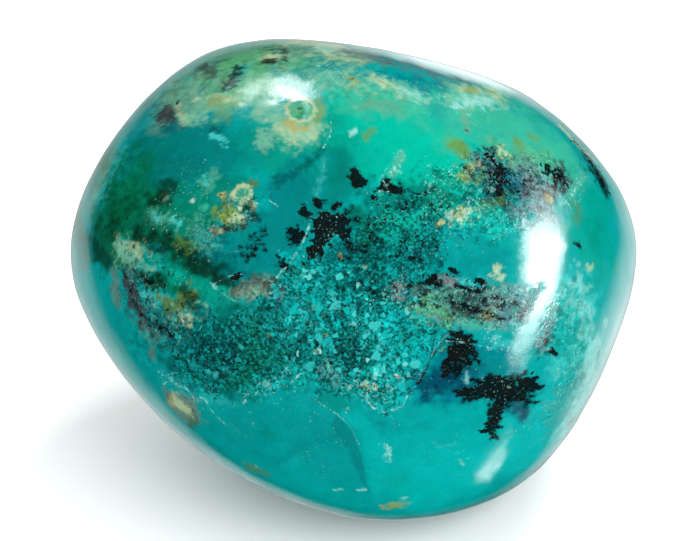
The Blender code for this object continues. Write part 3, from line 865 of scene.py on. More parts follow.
# %% Black lumps
lay_on({
    "great lump": ("black", patch((315, 222), (322, 214), (340, 215), (347, 218), (349, 232), (347, 242),
                                  (342, 244), (341, 236), (334, 234), (331, 244), (318, 255), (307, 261),
                                  (306, 252), (312, 238)), 0.22, 1.0, 0.5, 1.3),
    "its left lobe": ("black", patch((290, 230), (298, 225), (304, 232), (302, 240), (292, 242)), 0.2, 1.0,
                      0.5, 1.4),
    "its upper beads": ("black", path((316, 202), (321, 205)), 0.17, 1.0, 0.5, 1.0),
    "its left bead": ("black", path((303, 210), (306, 214)), 0.19, 1.0, 0.5, 0.9),
    "its right horn": ("black", path((335, 208), (338, 205)), 0.15, 1.0, 0.5, 0.9),
    "peak": ("black", patch((353, 166), (357, 171), (363, 174), (367, 181), (362, 187), (352, 187),
                            (349, 176)), 0.14, 1.0, 0.5, 0.8),
    "triangle": ("black", patch((374, 192), (386, 176), (391, 182), (406, 191), (398, 193), (388, 191)),
                 0.14, 1.0, 0.5, 0.9),
    "bead by the triangle": ("black", path((374, 198)), 0.16, 1.0, 0.5, 0.8),
    "lone bead": ("black", path((282, 262), (286, 266)), 0.22, 1.0, 0.5, 0.9),
    "bead under the stem": ("black", path((467, 131)), 0.1, 1.0, 0.5, 0.9),
    "bead of the blob": ("black", path((178, 103)), 0.13, 1.0, 0.5, 0.8),
    "crumbs over the lozenge": ("black", path((237, 276), (244, 275)), 0.14, 1.0, 0.5, 1.4),
    "gold grain's crumbs": ("black", path((352, 79)), 0.06, 1.0, 0.5, 1.0),
    "band's left lump": ("black", patch((424, 279), (436, 272), (441, 280), (436, 286), (428, 285)), 0.18,
                         1.0, 0.5, 1.1),
    "band's beads": ("black", path((450, 270), (458, 273)), 0.13, 1.0, 0.5, 1.1),
    "band's right bead": ("black", path((479, 281), (482, 283)), 0.16, 1.0, 0.5, 1.0),
    "band's thread": ("black", path((458, 286), (470, 291), (482, 291)), 0.1, 1.0, 0.5, 1.2),
    "brown's black": ("black", path((460, 304), (472, 309)), 0.1, 1.0, 0.5, 1.6),
    "beads of the flank": ("black", path((574, 243), (579, 246)), 0.1, 1.0, 0.5, 1.5),
    "bead in the shine": ("black", path((538, 276)), 0.05, 1.0, 0.5, 1.0),
    "beads under the shine": ("black", path((551, 350), (556, 353)), 0.1, 1.0, 0.5, 1.5),
    "burnt dots": ("black", path((414, 257), (418, 262)), 0.09, 1.0, 0.5, 1.6),
    "thread on the ledge": ("black", path((434, 352), (427, 367), (419, 383)), 0.05, 1.0, 0.5, 1.0),
    "dots of the dusk": ("black", path((495, 182), (499, 193)), 0.16, 1.0, 0.5, 1.5),
    "dots of the purple": ("black", path((560, 170), (566, 184)), 0.13, 1.0, 0.5, 1.6),
    "dots of the plum": ("black", path((131, 293), (141, 314)), 0.08, 1.0, 0.5, 1.6),
    "dots of the crumbs": ("black", path((152, 326), (170, 332)), 0.1, 1.0, 0.5, 1.8),
    "dots of the moss": ("black", path((146, 281), (158, 284)), 0.1, 1.0, 0.5, 1.5),
    "dots of the diagonal": ("black", path((527, 308), (521, 318)), 0.05, 1.0, 0.5, 1.6),
    "growth of the dusk": ("black", path((489, 157), (500, 168), (497, 186)), 0.22, 1.0, 0.5, 2.4),
    "growth of the haze": ("black", path((546, 166), (560, 178), (553, 188)), 0.18, 1.0, 0.5, 2.4),
    "growth of the rim": ("black", path((592, 164), (600, 176), (604, 188)), 0.16, 1.0, 0.5, 1.8),
    "growth of the band": ("black", path((452, 302), (468, 307), (500, 318)), 0.08, 1.0, 0.5, 2.6),
    "growth of the streak": ("black", path((548, 332), (545, 344)), 0.06, 1.0, 0.5, 2.2),
})

# %% [markdown]
# A fern has too many twigs to draw by hand, so it is grown. A branch walks over the skin in four short
# steps and throws twigs to both sides, and a twig does the same once more. The dice are seeded, so the same
# fern grows on every run. Where a fern has grown solid, a patch is laid over its twigs.

# %% Ferns
def blacken(start, end, width):
    """Lays on a straight piece of black growth between two points."""
    near, far = from_place(("path", np.array([start, end])), 0.6)
    to_growth[near] = np.minimum(to_growth[near], far - width)


def fern(root, tip, width, twigs, seed, spread=55.0, length=0.45, depth=2):
    """A black growth between two places of the picture. Spread is how far twigs lean, in degrees."""
    dice = random.Random(seed)

    def branch(start, heading, far, thick, level):
        normal = skin_tree.find_nearest(start)[1]
        points = [start]
        for _ in range(4):
            heading = Matrix.Rotation(math.radians(dice.uniform(-16, 16)), 3, normal) @ heading
            points.append(skin_tree.find_nearest(points[-1] + heading * far / 4)[0])
        for i in range(4):
            blacken(points[i], points[i + 1], thick * (1 - 0.12 * i))
        if level == 0:
            return
        for i in range(twigs):
            share = (i + 0.8) / twigs
            lean = math.radians((-1) ** i * dice.uniform(0.7, 1.3) * spread)
            off = Matrix.Rotation(lean, 3, normal) @ heading
            twig = far * length * dice.uniform(0.7, 1.2) * (1.15 - 0.6 * share)
            branch(points[min(4, round(share * 4))], off, twig, thick * 0.8, level - 1)

    start = seen(*root)[0]
    stem = seen(*tip)[0] - start
    branch(start, stem.normalized(), stem.length, width, depth)


FLORETS = ((257, 220), (261, 228), (255, 233), (265, 231), (250, 239), (257, 241), (262, 244), (252, 245),
           (243, 247), (248, 249), (255, 250), (263, 250), (242, 253), (248, 255), (255, 256), (247, 262))
for number, (x, y) in enumerate(FLORETS):
    lean = math.radians(67 * number)
    fern((x, y), (x + 3 * math.cos(lean), y + 3 * math.sin(lean)), 0.045, 4, number, length=0.8, depth=1)
fern((247, 262), (262, 226), 0.02, 7, 9, length=0.25, depth=1)
fern((299, 240), (291, 230), 0.07, 4, 11, length=0.6)
fern((301, 242), (293, 243), 0.06, 3, 12, length=0.6)
fern((346, 240), (352, 250), 0.05, 3, 13, length=0.5)
fern((344, 214), (353, 208), 0.05, 3, 14, length=0.5)

LEFT_FERN_ROOT = (461, 341)
LEFT_FERN_TIPS = ((441, 372), (449, 376), (458, 374), (467, 368), (473, 356), (474, 344), (471, 335),
                  (449, 337))
for number, tip in enumerate(LEFT_FERN_TIPS):
    fern(LEFT_FERN_ROOT, tip, 0.11, 8, 20 + number, spread=48, length=0.20)

SPRAY_ROOT = (497, 389)
SPRAY_TIPS = ((457, 392), (459, 400), (466, 405), (470, 386), (478, 380), (487, 377), (500, 377), (511, 374),
              (523, 371), (534, 376), (540, 385), (540, 395), (529, 401), (517, 405), (505, 408))
for number, tip in enumerate(SPRAY_TIPS):
    fern(SPRAY_ROOT, tip, 0.10, 9, 40 + number, spread=50, length=0.18)
fern((497, 395), (487, 437), 0.12, 10, 33, spread=46, length=0.2)
fern((500, 392), (494, 420), 0.13, 8, 34, spread=46, length=0.26)

lay_on({
    "body of the left fern": ("black", patch((450, 331), (462, 332), (475, 341), (467, 350), (471, 362),
                                             (466, 367), (457, 360), (452, 361), (446, 374), (441, 376),
                                             (443, 364), (448, 351), (453, 344)), 0.12, 1.0, 0.5, 1.2),
    "body of the spray": ("black", patch((484, 380), (495, 376), (512, 377), (517, 388), (512, 399),
                                         (496, 403), (484, 397)), 0.14, 1.0, 0.5, 1.2),
    "right plume": ("black", patch((518, 379), (531, 375), (539, 385), (528, 390), (520, 388)), 0.14, 1.0,
                    0.5, 1.8),
    "left plume": ("black", path((482, 390), (470, 390), (461, 393)), 0.18, 1.0, 0.5, 1.6),
    "lower plume": ("black", path((498, 402), (495, 414), (488, 430)), 0.27, 1.0, 0.5, 1.3),
    "lilac under the spray": ("violet grey", path((520, 406), (525, 414)), 0.3, 0.5, 0.8, 1.2),
    "dust on the spray": ("snow", path((486, 378), (512, 380), (512, 400), (492, 396)), 0.5, 0.25, 0.7, 0.9),
    "dust on the plume": ("snow", path((496, 408), (491, 424)), 0.3, 0.25, 0.7, 0.9),
    "dust on the left fern": ("snow", path((455, 336), (468, 342), (462, 356)), 0.4, 0.3, 0.7, 0.9),
    "dust on the great lump": ("snow", path((320, 220), (340, 222), (330, 240), (310, 256)), 0.5, 0.45, 0.7,
                               0.9),
    "dust by the triangle": ("snow", path((402, 153), (396, 168), (384, 186)), 0.25, 0.8, 0.7, 1.0),
    "shade of the left fern": ("night teal", path((452, 346), (462, 364)), 0.4, 0.7, 0.9, 0.8),
    "shade under the spray": ("dark sea", path((512, 404), (524, 412)), 0.45, 0.85, 0.8, 0.8),
    "second shade": ("dark sea", path((470, 394), (500, 398), (530, 392)), 0.6, 0.5, 0.9, 0.8),
    "olive in the left fern": ("olive", path((442, 349)), 0.14, 0.8, 0.6),
})
print("skin under black:", round((to_growth < 0).mean() * 100, 1), "%")

# %% [markdown]
# White veins and threads are old cracks that quartz filled. They are thinner than the gaps between the
# skin's points, so their distance is kept and the material draws them.

# %% Veins
lay_on({
    "thread": ("vein", path((334, 105), (331, 121), (330, 134), (325, 146)), 0.012, 1.0, 0.5, 1.6),
    "thread's upper bead": ("vein", path((331, 121)), 0.05, 1.0, 0.5, 0.6),
    "thread's middle beads": ("vein", path((331, 129), (330, 137)), 0.03, 1.0, 0.5, 1.6),
    "thread's lower bead": ("vein", path((326, 143), (324, 148)), 0.05, 1.0, 0.5, 1.0),
    "thread under it": ("vein", path((325, 160), (323, 177), (316, 195)), 0.015, 1.0, 0.5, 1.2),
    "vein by the black": ("vein", path((309, 224), (304, 240), (296, 254), (286, 268), (276, 277)), 0.04,
                          1.0, 0.5, 1.8),
    "arc": ("vein", path((401, 149), (393, 160), (385, 171), (378, 182)), 0.014, 1.0, 0.5, 0.8),
    "line of the deep": ("vein", path((446, 341), (460, 342), (482, 346), (514, 347)), 0.02, 1.0, 0.5, 1.2),
    "rim of the ledge": ("vein", path((457, 327), (445, 337), (436, 347), (427, 366), (418, 382)), 0.014,
                         1.0, 0.5, 1.4),
    "foot of the ledge": ("vein", path((408, 395), (402, 407), (385, 413), (373, 408), (360, 394)), 0.03,
                          1.0, 0.5, 1.8),
    "thread of the corner": ("vein", path((174, 381), (188, 390), (205, 400), (214, 414), (230, 428)), 0.03,
                             1.0, 0.5, 1.9),
    "curl of the corner": ("vein", path((243, 404), (248, 396), (258, 392)), 0.045, 1.0, 0.5, 1.6),
    "thread of the fringe": ("vein", path((262, 396), (290, 384), (300, 374)), 0.02, 1.0, 0.5, 1.9),
    "thread under the break": ("vein", path((300, 388), (322, 404), (336, 414)), 0.008, 1.0, 0.5, 1.5),
    "strokes in the pool": ("vein", path((253, 203), (262, 204)), 0.035, 1.0, 0.5, 1.4),
    "second stroke": ("vein", path((270, 201), (278, 206)), 0.035, 1.0, 0.5, 1.4),
    "stroke by the fern": ("vein", path((234, 251), (241, 252)), 0.022, 1.0, 0.5, 1.0),
    "cyan end of the band": ("vein", path((211, 283), (216, 288)), 0.06, 1.0, 0.5, 1.4),
    "thread to the lozenge": ("vein", path((216, 288), (232, 300), (244, 304)), 0.012, 1.0, 0.5, 1.4),
    "thread off the lozenge": ("vein", path((214, 284), (230, 276), (244, 274)), 0.01, 1.0, 0.5, 1.4),
    "white in the triangle": ("vein", path((394, 168), (387, 179)), 0.05, 1.0, 0.5, 1.8),
    "feather of the foot": ("vein", path((303, 456), (318, 464), (334, 471)), 0.006, 1.0, 0.5, 1.4),
    "thread of the flank": ("vein", path((483, 249), (485, 262)), 0.01, 1.0, 0.5, 1.4),
    "bright fleck": ("vein", path((595, 213), (597, 216)), 0.04, 1.0, 0.5, 1.0),
    "root fleck": ("vein", path((570, 198), (577, 186)), 0.05, 1.0, 0.5, 1.8),
    "fracture": ("vein", path((318, 402), (337, 414), (350, 426), (360, 446)), 0.012, 1.0, 0.5, 1.0),
    "star": ("vein", path((497, 272), (503, 279)), 0.05, 1.0, 0.5, 1.8),
})

# %% [markdown]
# The hidden sides were never photographed. They carry the same stone on: the moss and cloud run over the
# crown and round the left end, and the rest is clear turquoise with a second, smaller break and a few
# growths. Mirroring the show face would be quick, but it would be noticed. The same brushes are used
# instead, and each place is given by the way that its side faces.

# %% The hidden sides
lay_on({
    "moss round the left end": ("forest", side((-95, 25), (-120, 10), (-150, 20)), 3.0, 0.9, 0.7, 0.8),
    "moss shadow": ("dark moss", side((-105, 12), (-125, 5), (-140, 16)), 1.0, 0.8, 0.6, 1.2),
    "bright band behind": ("aqua", side((-85, -2), (-110, -8), (-135, 0), (-160, 2)), 0.7, 0.85, 0.5, 1.0),
    "cloud over the crown": ("veil", side((-40, 80), (-120, 72), (-160, 55), (170, 45)), 2.4, 0.75, 0.7, 1.0),
    "cream over the crown": ("cream", side((-110, 68), (-150, 50)), 1.0, 0.6, 0.7, 1.4),
    "slate behind": ("slate", side((60, 78), (140, 60), (160, 42)), 1.3, 0.6, 0.7, 1.2),
    "mint behind": ("mint", side((120, 30), (150, 15), (175, 5)), 3.2, 0.7, 0.8, 0.7),
    "sea of the back": ("lagoon", side((150, -20), (-170, -25), (-130, -30)), 3.4, 0.8, 0.8, 0.7),
    "back break": ("deep teal", side((-175, 25), (165, 12), (150, -5)), 2.0, 0.9, 0.6, 1.2),
    "back break light": ("turquoise", side((170, 18), (155, 2)), 0.9, 0.6, 0.7, 1.4),
    "back grains": ("grain", side((-175, 25), (165, 12), (150, -5)), 2.2, 1.0, 0.6, 1.2),
    "back splinters": ("clast", side((172, 18), (156, 2)), 1.3, 0.9, 0.6, 1.2),
    "back soot": ("soot", side((-170, 28), (180, 18)), 1.3, 0.7, 0.6, 1.2),
    "back snow": ("snow", side((-165, 30), (160, 5)), 2.0, 0.4, 0.7, 1.2),
    "grey piece behind": ("ash", side((-178, 8), (172, 2)), 0.8, 0.85, 0.5, 1.2),
    "brown in it": ("umber", side((-176, 7), (176, 4)), 0.4, 0.8, 0.6, 1.2),
    "second nodule": ("olive", side((-140, 30), (-146, 26)), 0.8, 0.85, 0.5, 1.2),
    "its cream": ("cream", side((-147, 32), (-151, 27)), 0.45, 0.9, 0.5, 1.4),
    "cream of the end": ("pale mint", side((108, 38), (118, 48)), 0.9, 0.7, 0.6, 1.4),
    "olive of the end": ("olive", side((105, 20), (112, 24)), 0.6, 0.5, 0.7, 1.2),
    "dark of the end": ("plum", side((100, 8), (112, 2)), 0.7, 0.75, 0.6, 1.4),
    "pale root behind": ("ice", side((95, -8), (118, -14), (140, -22)), 0.35, 0.55, 0.6, 1.8),
    "dapples of the end": ("spring", side((80, -20), (95, -30)), 1.6, 0.5, 0.8, 1.6),
    "cloud of the far foot": ("veil green", side((-100, -40), (-140, -50)), 1.6, 0.5, 0.8, 1.4),
    "far foot crumbs": ("snow", side((-100, -38), (-140, -48)), 1.6, 0.4, 0.7, 1.2),
    "back lump": ("black", side((-168, 20), (-172, 16)), 0.6, 1.0, 0.5, 1.4),
    "back bead": ("black", side((-150, 12)), 0.3, 1.0, 0.5, 1.4),
    "end lump": ("black", side((112, 8), (118, 4)), 0.45, 1.0, 0.5, 1.6),
    "left bead": ("black", side((-118, 30)), 0.35, 1.0, 0.5, 1.5),
    "back thread": ("vein", side((-160, -10), (176, -14), (150, -12)), 0.06, 1.0, 0.5, 1.6),
    "second back thread": ("vein", side((130, 40), (118, 18), (122, -4)), 0.06, 1.0, 0.5, 1.6),
    "left thread": ("vein", side((-95, 40), (-118, 20), (-122, -6)), 0.06, 1.0, 0.5, 1.6),
})

# %% [markdown]
# Where the light strikes hardest the polish shows its wear: fine pits that break the edge of a shine into
# specks. Modelled pits would need far more points. So the wear is laid on as an amount, which the material
# turns into a duller gloss and a fine bump. The glints that its scratches throw are painted, as pale specks
# in the colour along the shines.

# %% Worn polish
lay_on({
    "wear of the crown": ("dull", path((256, 86), (290, 84), (312, 94)), 0.8, 1.0, 0.8, 0.8),
    # Painted glints: pale specks for the light that scratches throw at the edges of the shines.
    "scratches of the crown": ("snow", path((248, 86), (280, 80), (310, 92)), 0.7, 0.8, 0.8, 0.9),
    "scratches of the window": ("snow", path((526, 232), (522, 290), (516, 330), (512, 365)), 0.35, 0.7,
                                0.9, 0.9),
    "scratches of the haze": ("snow", path((534, 190), (540, 222)), 0.9, 0.35, 0.9, 0.9),
    "wear under the haze": ("dull", path((540, 196), (546, 222)), 1.0, 0.9, 0.8, 0.8),
    "wear left of the window": ("dull", path((524, 232), (521, 290), (514, 320)), 0.4, 0.7, 0.9, 0.9),
    "wear of the window's foot": ("dull", path((528, 335), (517, 370)), 0.5, 0.8, 0.9, 0.8),
    "wear of the foot": ("dull", path((500, 440), (482, 478)), 0.5, 0.5, 0.9, 0.8),
    "hollow across the window": ("dull", path((540, 287), (530, 301), (519, 322)), 0.22, 6.0, 0.8, 1.0),
    "hollow beside the window": ("dull", path((554, 310), (548, 328), (543, 346)), 0.28, 5.0, 0.8, 1.0),
})

# %% [markdown]
# Polish is never quite flat. Broad waves of a few hundredths of a millimetre bend the shine. The broken
# zone lies a little low and is faintly pitted, because its grains are of unlike hardness. The fracture is a
# shallow groove, and the eye has a faint dimple. Bump in the material could show all this, but it would be
# gone when the mesh leaves Blender, so it moves the skin's points.

# %% Waves, pits and the ledge
WAVE_MM = 0.018
PIT_MM = 0.006
relief = WAVE_MM * evened(cloud_fields[4.8, 0], 12)
relief += PIT_MM * cloud_fields[0.3, 1] * textures["grain"]


def sink(place, reach, depth, edge=0.9):
    near, far = from_place(place, reach * (1 + edge))
    if place[0] == "patch":
        far = far + reach
    relief[near] -= depth * ease((reach * (1 + edge) - far) / (2 * edge * reach))


sink(BREAK, 0.25, 0.03)
sink(path((337, 414), (357, 441), (366, 465), (372, 504)), 0.10, 0.012)
sink(ring_about(EYE, 15, 10, 170), 0.12, 0.005)
off_the_bed = np.clip(skin[:, 2] / 1.0, 0.0, 1.0)
skin = skin + rays * (relief * off_the_bed)[:, None]
print("relief, mm:", round(relief.min(), 3), "to", round(relief.max(), 3))

polished_tree = BVHTree.FromPolygons(
    [Vector(point) for point in skin],
    [[v.index for v in face.verts] for face in skin_shape.faces],
)

# %% [markdown]
# What was laid on goes into the mesh as named attributes, which a material can read. An image wrapped round
# the stone could hold the same, but it would need a seam, and it would blur when one comes near.

# %% The skin as a mesh
skin_mesh = bpy.data.meshes.new("stone_skin")
skin_shape.to_mesh(skin_mesh)
skin_shape.free()
skin_mesh.vertices.foreach_set("co", (skin * MM).ravel())
skin_mesh.update()
skin_mesh.shade_smooth()

colour_layer = skin_mesh.attributes.new("tint", "FLOAT_COLOR", "POINT")
colour_layer.data.foreach_set("color", np.column_stack([tint, np.ones(len(tint))]).astype(np.float32).ravel())
for name, values in {**textures, "growth": to_growth, "vein": to_vein}.items():
    layer = skin_mesh.attributes.new(name, "FLOAT", "POINT")
    layer.data.foreach_set("value", values.astype(np.float32))
print("triangles of the skin:", 2 * len(skin_mesh.polygons))

# %% [markdown]
# The material starts from the tint and adds what is finer than the skin's points. A few helpers keep the
# node tree short to write.

# %% Helpers for the material
polish = bpy.data.materials.new("polished chrysocolla")
polish.use_nodes = True
tree = polish.node_tree
shader = tree.nodes["Principled BSDF"]


def add(kind, sockets, **settings):
    """A new node of a kind, with its settings, and its sockets filled by name or number."""
    node = tree.nodes.new("ShaderNode" + kind)
    for name, value in settings.items():
        setattr(node, name, value)
    for name, value in sockets.items():
        if isinstance(value, bpy.types.NodeSocket):
            tree.links.new(value, node.inputs[name])
        else:
            node.inputs[name].default_value = value
    return node


def reckon(operation, first, second=0.0):
    return add("Math", {0: first, 1: second}, operation=operation).outputs[0]


def between(value, low, high):
    """0 below low and 1 above high, with an eased climb between them."""
    sockets = {"Value": value, "From Min": low, "From Max": high}
    return add("MapRange", sockets, interpolation_type="SMOOTHSTEP").outputs[0]


def spread_out(value, low, high, to_low, to_high):
    """A value between low and high, moved and stretched to lie between two others."""
    sockets = {"Value": value, "From Min": low, "From Max": high, "To Min": to_low, "To Max": to_high}
    return add("MapRange", sockets).outputs[0]


def mixed(share, first, second):
    """The first colour, with a share of the second over it. Colours are sockets or names from the palette."""
    sockets = {0: share}
    for number, colour in ((6, first), (7, second)):
        sockets[number] = (*PALETTE[colour], 1.0) if isinstance(colour, str) else colour
    return add("Mix", sockets, data_type="RGBA").outputs[2]


def brighter(colour, value):
    return add("HueSaturation", {"Color": colour, "Value": value}).outputs["Color"]


def laid(name):
    return add("Attribute", {}, attribute_name=name).outputs["Fac"]


place = add("TexCoord", {}).outputs["Object"]
place = add("VectorMath", {0: place, 1: (1 / MM,) * 3}, operation="MULTIPLY").outputs[0]


def cloud(size, detail=4.0, shift=0.0, roughness=0.5):
    """Soft noise about 0.5, with patches of this size in millimetres."""
    where = add("VectorMath", {0: place, 1: (shift, shift, shift)}, operation="ADD").outputs[0]
    sockets = {"Vector": where, "Scale": 1 / size, "Detail": detail, "Roughness": roughness}
    return add("TexNoise", sockets).outputs["Fac"]


def specks(amount, size, shift, few, many):
    """1 on specks of a size in mm. Few and many are how high the noise must stand for amounts of 0 and 1."""
    height = reckon("SUBTRACT", cloud(size, 3, shift, 0.6), spread_out(amount, 0.0, 1.0, few, many))
    return reckon("MULTIPLY", between(height, -0.03, 0.04), between(amount, 0.0, 0.1))


# %% [markdown]
# Grains are cells of a Voronoi pattern, shaken a little so that their sides aren't straight. Each cell
# draws three lucky numbers, and how far a point lies inside its cell's rim is known too. Three sizes are
# used, from half a millimetre down to a tenth. Plain noise would give soft clouds, and no sides.

# %% Grains
shake = add("TexNoise", {"Vector": place, "Scale": 4.0, "Detail": 3.0}).outputs["Color"]
shake = add("VectorMath", {0: shake, 1: (0.22, 0.22, 0.22)}, operation="MULTIPLY").outputs[0]
shaken = add("VectorMath", {0: place, 1: shake}, operation="ADD").outputs[0]


def grains(per_mm):
    """Three lucky numbers for each grain, and how far a point is from its rim in grain widths."""
    sockets = {"Vector": shaken, "Scale": per_mm}
    luck = add("SeparateColor", {"Color": add("TexVoronoi", sockets).outputs["Color"]}).outputs
    rim = add("TexVoronoi", sockets, feature="DISTANCE_TO_EDGE").outputs["Distance"]
    return luck, rim


coarse, coarse_rim = grains(2.1)
middle, middle_rim = grains(4.2)
fine = grains(8.5)[0]


def chosen(luck, share):
    """1 for the share of grains that this lucky number picks."""
    return between(reckon("ADD", luck, share), 0.99, 1.01)


# %% [markdown]
# The stone's own colour is the tint, made a little uneven by soft clouds, because no part of it is one flat
# colour. Mottle, milk and grain are then mixed in where they were laid on. An image would do the same, but
# it blurs when one comes near, and these patterns stay sharp.

# %% The body and its grain
body = add("Attribute", {}, attribute_name="tint").outputs["Color"]
body = brighter(body, spread_out(cloud(1.1, 6), 0.3, 0.7, 0.93, 1.07))
body = brighter(body, spread_out(cloud(0.16, 2, 3.0), 0.3, 0.7, 0.95, 1.05))
mottled = brighter(body, spread_out(cloud(0.45, 6, 17.0, 0.62), 0.35, 0.65, 0.60, 1.34))
body = mixed(laid("mottle"), body, mottled)

milk = reckon("MULTIPLY", laid("milk"), between(cloud(0.55, 4, 12.0), 0.47, 0.63))
curd = mixed(between(cloud(1.2, 2, 14.0), 0.52, 0.68), "pale mint", "cream")
body = mixed(reckon("MULTIPLY", milk, 0.75), body, curd)
hollow = reckon("MULTIPLY", laid("milk"), between(cloud(0.5, 3, 16.0), 0.5, 0.36))
body = mixed(reckon("MULTIPLY", hollow, 0.35), body, "jade")

grain = laid("grain")
paste = reckon("ADD", reckon("MULTIPLY", middle[0], 0.35), reckon("MULTIPLY", fine[0], 0.65))
paste = between(paste, 0.15, 0.85)
grainy = brighter(body, spread_out(paste, 0.0, 1.0, 0.34, 1.55))
grainy = mixed(reckon("MULTIPLY", chosen(fine[1], 0.18), 0.65), grainy, "night teal")
grainy = mixed(reckon("MULTIPLY", chosen(fine[2], 0.12), 0.5), grainy, "turquoise bright")
grainy = mixed(reckon("MULTIPLY", chosen(middle[1], 0.10), 0.35), grainy, "turquoise bright")
body = mixed(grain, body, grainy)
print("nodes in the material so far:", len(tree.nodes))

# %% [markdown]
# Splinters are grains that a lucky number picks, in two sizes. Only the inside of each is coloured, so that
# a dark seam is left round it. Soot is dark specks, in two sizes as well.

# %% Splinters and soot
clast = laid("clast")
for luck, rim, most in ((coarse, coarse_rim, 0.30), (middle, middle_rim, 0.26)):
    picked = reckon("MULTIPLY", chosen(luck[1], reckon("MULTIPLY", clast, most)), between(rim, 0.04, 0.10))
    picked = reckon("MULTIPLY", picked, between(clast, 0.05, 0.3))
    picked = reckon("MULTIPLY", picked, spread_out(luck[0], 0.0, 1.0, 0.55, 0.95))
    pale = mixed(between(luck[2], 0.90, 1.0), "cyan", "ice")
    body = mixed(picked, body, mixed(between(luck[2], 0.45, 0.95), "turquoise bright", pale))

soot = laid("soot")
body = mixed(reckon("MULTIPLY", specks(soot, 0.6, 4.0, 0.70, 0.50), 0.55), body, "night teal")
body = mixed(reckon("MULTIPLY", specks(soot, 0.28, 9.0, 0.70, 0.53), 0.85), body, "black")

# %% [markdown]
# The skin's points know how far they are from the nearest black. The finest twigs are smaller than the gaps
# between points, so noise is added to that distance before it is cut, and the rim frays. A dark halo is
# left round it, where the growth sinks into the stone, and the black itself is uneven like soot.

# %% Black growths
fray = reckon("SUBTRACT", cloud(0.10, 4, 5.0, 0.65), 0.5)
lobes = reckon("SUBTRACT", cloud(0.35, 2, 18.0), 0.5)
off_growth = reckon("ADD", laid("growth"), reckon("MULTIPLY", fray, 0.30))
off_growth = reckon("ADD", off_growth, reckon("MULTIPLY", lobes, 0.12))
body = mixed(reckon("MULTIPLY", between(off_growth, 0.12, 0.0), 0.5), body, "night teal")
rust = mixed(between(cloud(0.5, 2, 19.0), 0.4, 0.6), "umber", "night teal")
ink = mixed(spread_out(cloud(0.08, 3, 9.0, 0.7), 0.45, 0.72, 0.0, 0.75), "black", rust)
body = mixed(reckon("MULTIPLY", between(off_growth, 0.03, -0.03), 0.97), body, ink)

# %% [markdown]
# Veins are cut from their distance in the same way. Snow is pale specks in two sizes: white grains, and
# along the shines painted glints too. It comes last, because on the real stone the white grains lie over the
# black as well.

# %% Veins, snow and dust
off_vein = reckon("ADD", laid("vein"), reckon("MULTIPLY", fray, 0.12))
vein = between(off_vein, 0.030, -0.015)
vein = reckon("MULTIPLY", vein, spread_out(cloud(0.4, 2, 8.0), 0.4, 0.6, 0.15, 0.85))
body = mixed(vein, body, "ice")

snow = laid("snow")
body = mixed(reckon("MULTIPLY", specks(snow, 0.45, 7.0, 0.74, 0.54), 0.35), body, "ice")
body = mixed(reckon("MULTIPLY", specks(snow, 0.13, 6.0, 0.70, 0.555), 0.6), body, "ice")
dust = between(cloud(0.07, 1, 21.0), 0.75, 0.81)
body = mixed(reckon("MULTIPLY", dust, 0.45), body, "ice")

# %% [markdown]
# The polish is a thin clear gloss. It is a little duller over the grains, and the finest grains show in it
# as a glitter, so a very low bump rides on them.

# %% Gloss
dull = laid("dull")
gloss = spread_out(cloud(0.7, 4, 11.0), 0.3, 0.7, 0.06, 0.10)
gloss = reckon("ADD", gloss, reckon("MULTIPLY", grain, 0.05))
gloss = reckon("ADD", gloss, reckon("MULTIPLY", dull, 0.06))
height = reckon("MULTIPLY", paste, reckon("ADD", reckon("MULTIPLY", grain, 0.6), 0.12))
height = reckon("ADD", height, reckon("MULTIPLY", cloud(0.07, 3, 2.0), 0.25))
height = reckon("ADD", height, reckon("MULTIPLY", dull, reckon("MULTIPLY", cloud(0.06, 2, 13.0), 2.0)))
bump = add("Bump", {"Height": height, "Strength": 0.45, "Distance": 0.01 * MM})

tree.links.new(body, shader.inputs["Base Color"])
tree.links.new(gloss, shader.inputs["Roughness"])
tree.links.new(bump.outputs["Normal"], shader.inputs["Normal"])
shader.inputs["IOR"].default_value = 1.5
skin_mesh.materials.append(polish)
print("nodes in the finished material:", len(tree.nodes))

stone = bpy.data.objects.new("stone_skin", skin_mesh)
bpy.context.scene.collection.objects.link(stone)
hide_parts("stone")
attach(stone, "root")

# %% [markdown]
# The stone lies on white paper. A curved backdrop is the usual way, but a wide disc does as well here,
# because from above it is lit past white and shows no edge.

# %% The paper
PAPER_RADIUS = 4.0

bpy.ops.mesh.primitive_circle_add(vertices=96, radius=PAPER_RADIUS, fill_type="NGON", location=(0, 0, 0))
floor = bpy.context.object
floor.name = "floor"
paper = bpy.data.materials.new("white paper")
paper.use_nodes = True
paper_shader = paper.node_tree.nodes["Principled BSDF"]
paper_shader.inputs["Base Color"].default_value = (0.97, 0.97, 0.97, 1)
paper_shader.inputs["Roughness"].default_value = 0.8
paper_shader.inputs["Specular IOR Level"].default_value = 0.1
floor.data.materials.append(paper)
floor.visible_glossy = False
print("the paper is", 2 * PAPER_RADIUS, "m across")

# %% [markdown]
# Light for the colours and light for the shine are kept apart, so that each can be set without spoiling the
# other. Soft lamps light the stone and the paper and leave no shine.

# %% Soft light
scene = bpy.context.scene
scene.view_settings.view_transform = "Standard"
scene.view_settings.look = "None"
world = bpy.data.worlds.new("studio")
scene.world = world
world.use_nodes = True
sky = world.node_tree.nodes["Background"]
sky.inputs["Color"].default_value = (1, 1, 1, 1)
sky.inputs["Strength"].default_value = 0.97
world.cycles_visibility.glossy = False


def soft_lamp(name, turn, tilt, distance, width, height, watts):
    """A rectangular lamp, in metres, that faces the stone, lights it and leaves no shine on it."""
    data = bpy.data.lights.new(name, "AREA")
    data.shape = "RECTANGLE"
    data.size = width
    data.size_y = height
    data.energy = watts
    lamp = bpy.data.objects.new(name, data)
    scene.collection.objects.link(lamp)
    lamp.location = HEART + way(turn, tilt) * distance
    lamp.rotation_mode = "QUATERNION"
    lamp.rotation_quaternion = way(turn, tilt).to_track_quat("Z", "Y")
    lamp.visible_camera = False
    lamp.visible_glossy = False


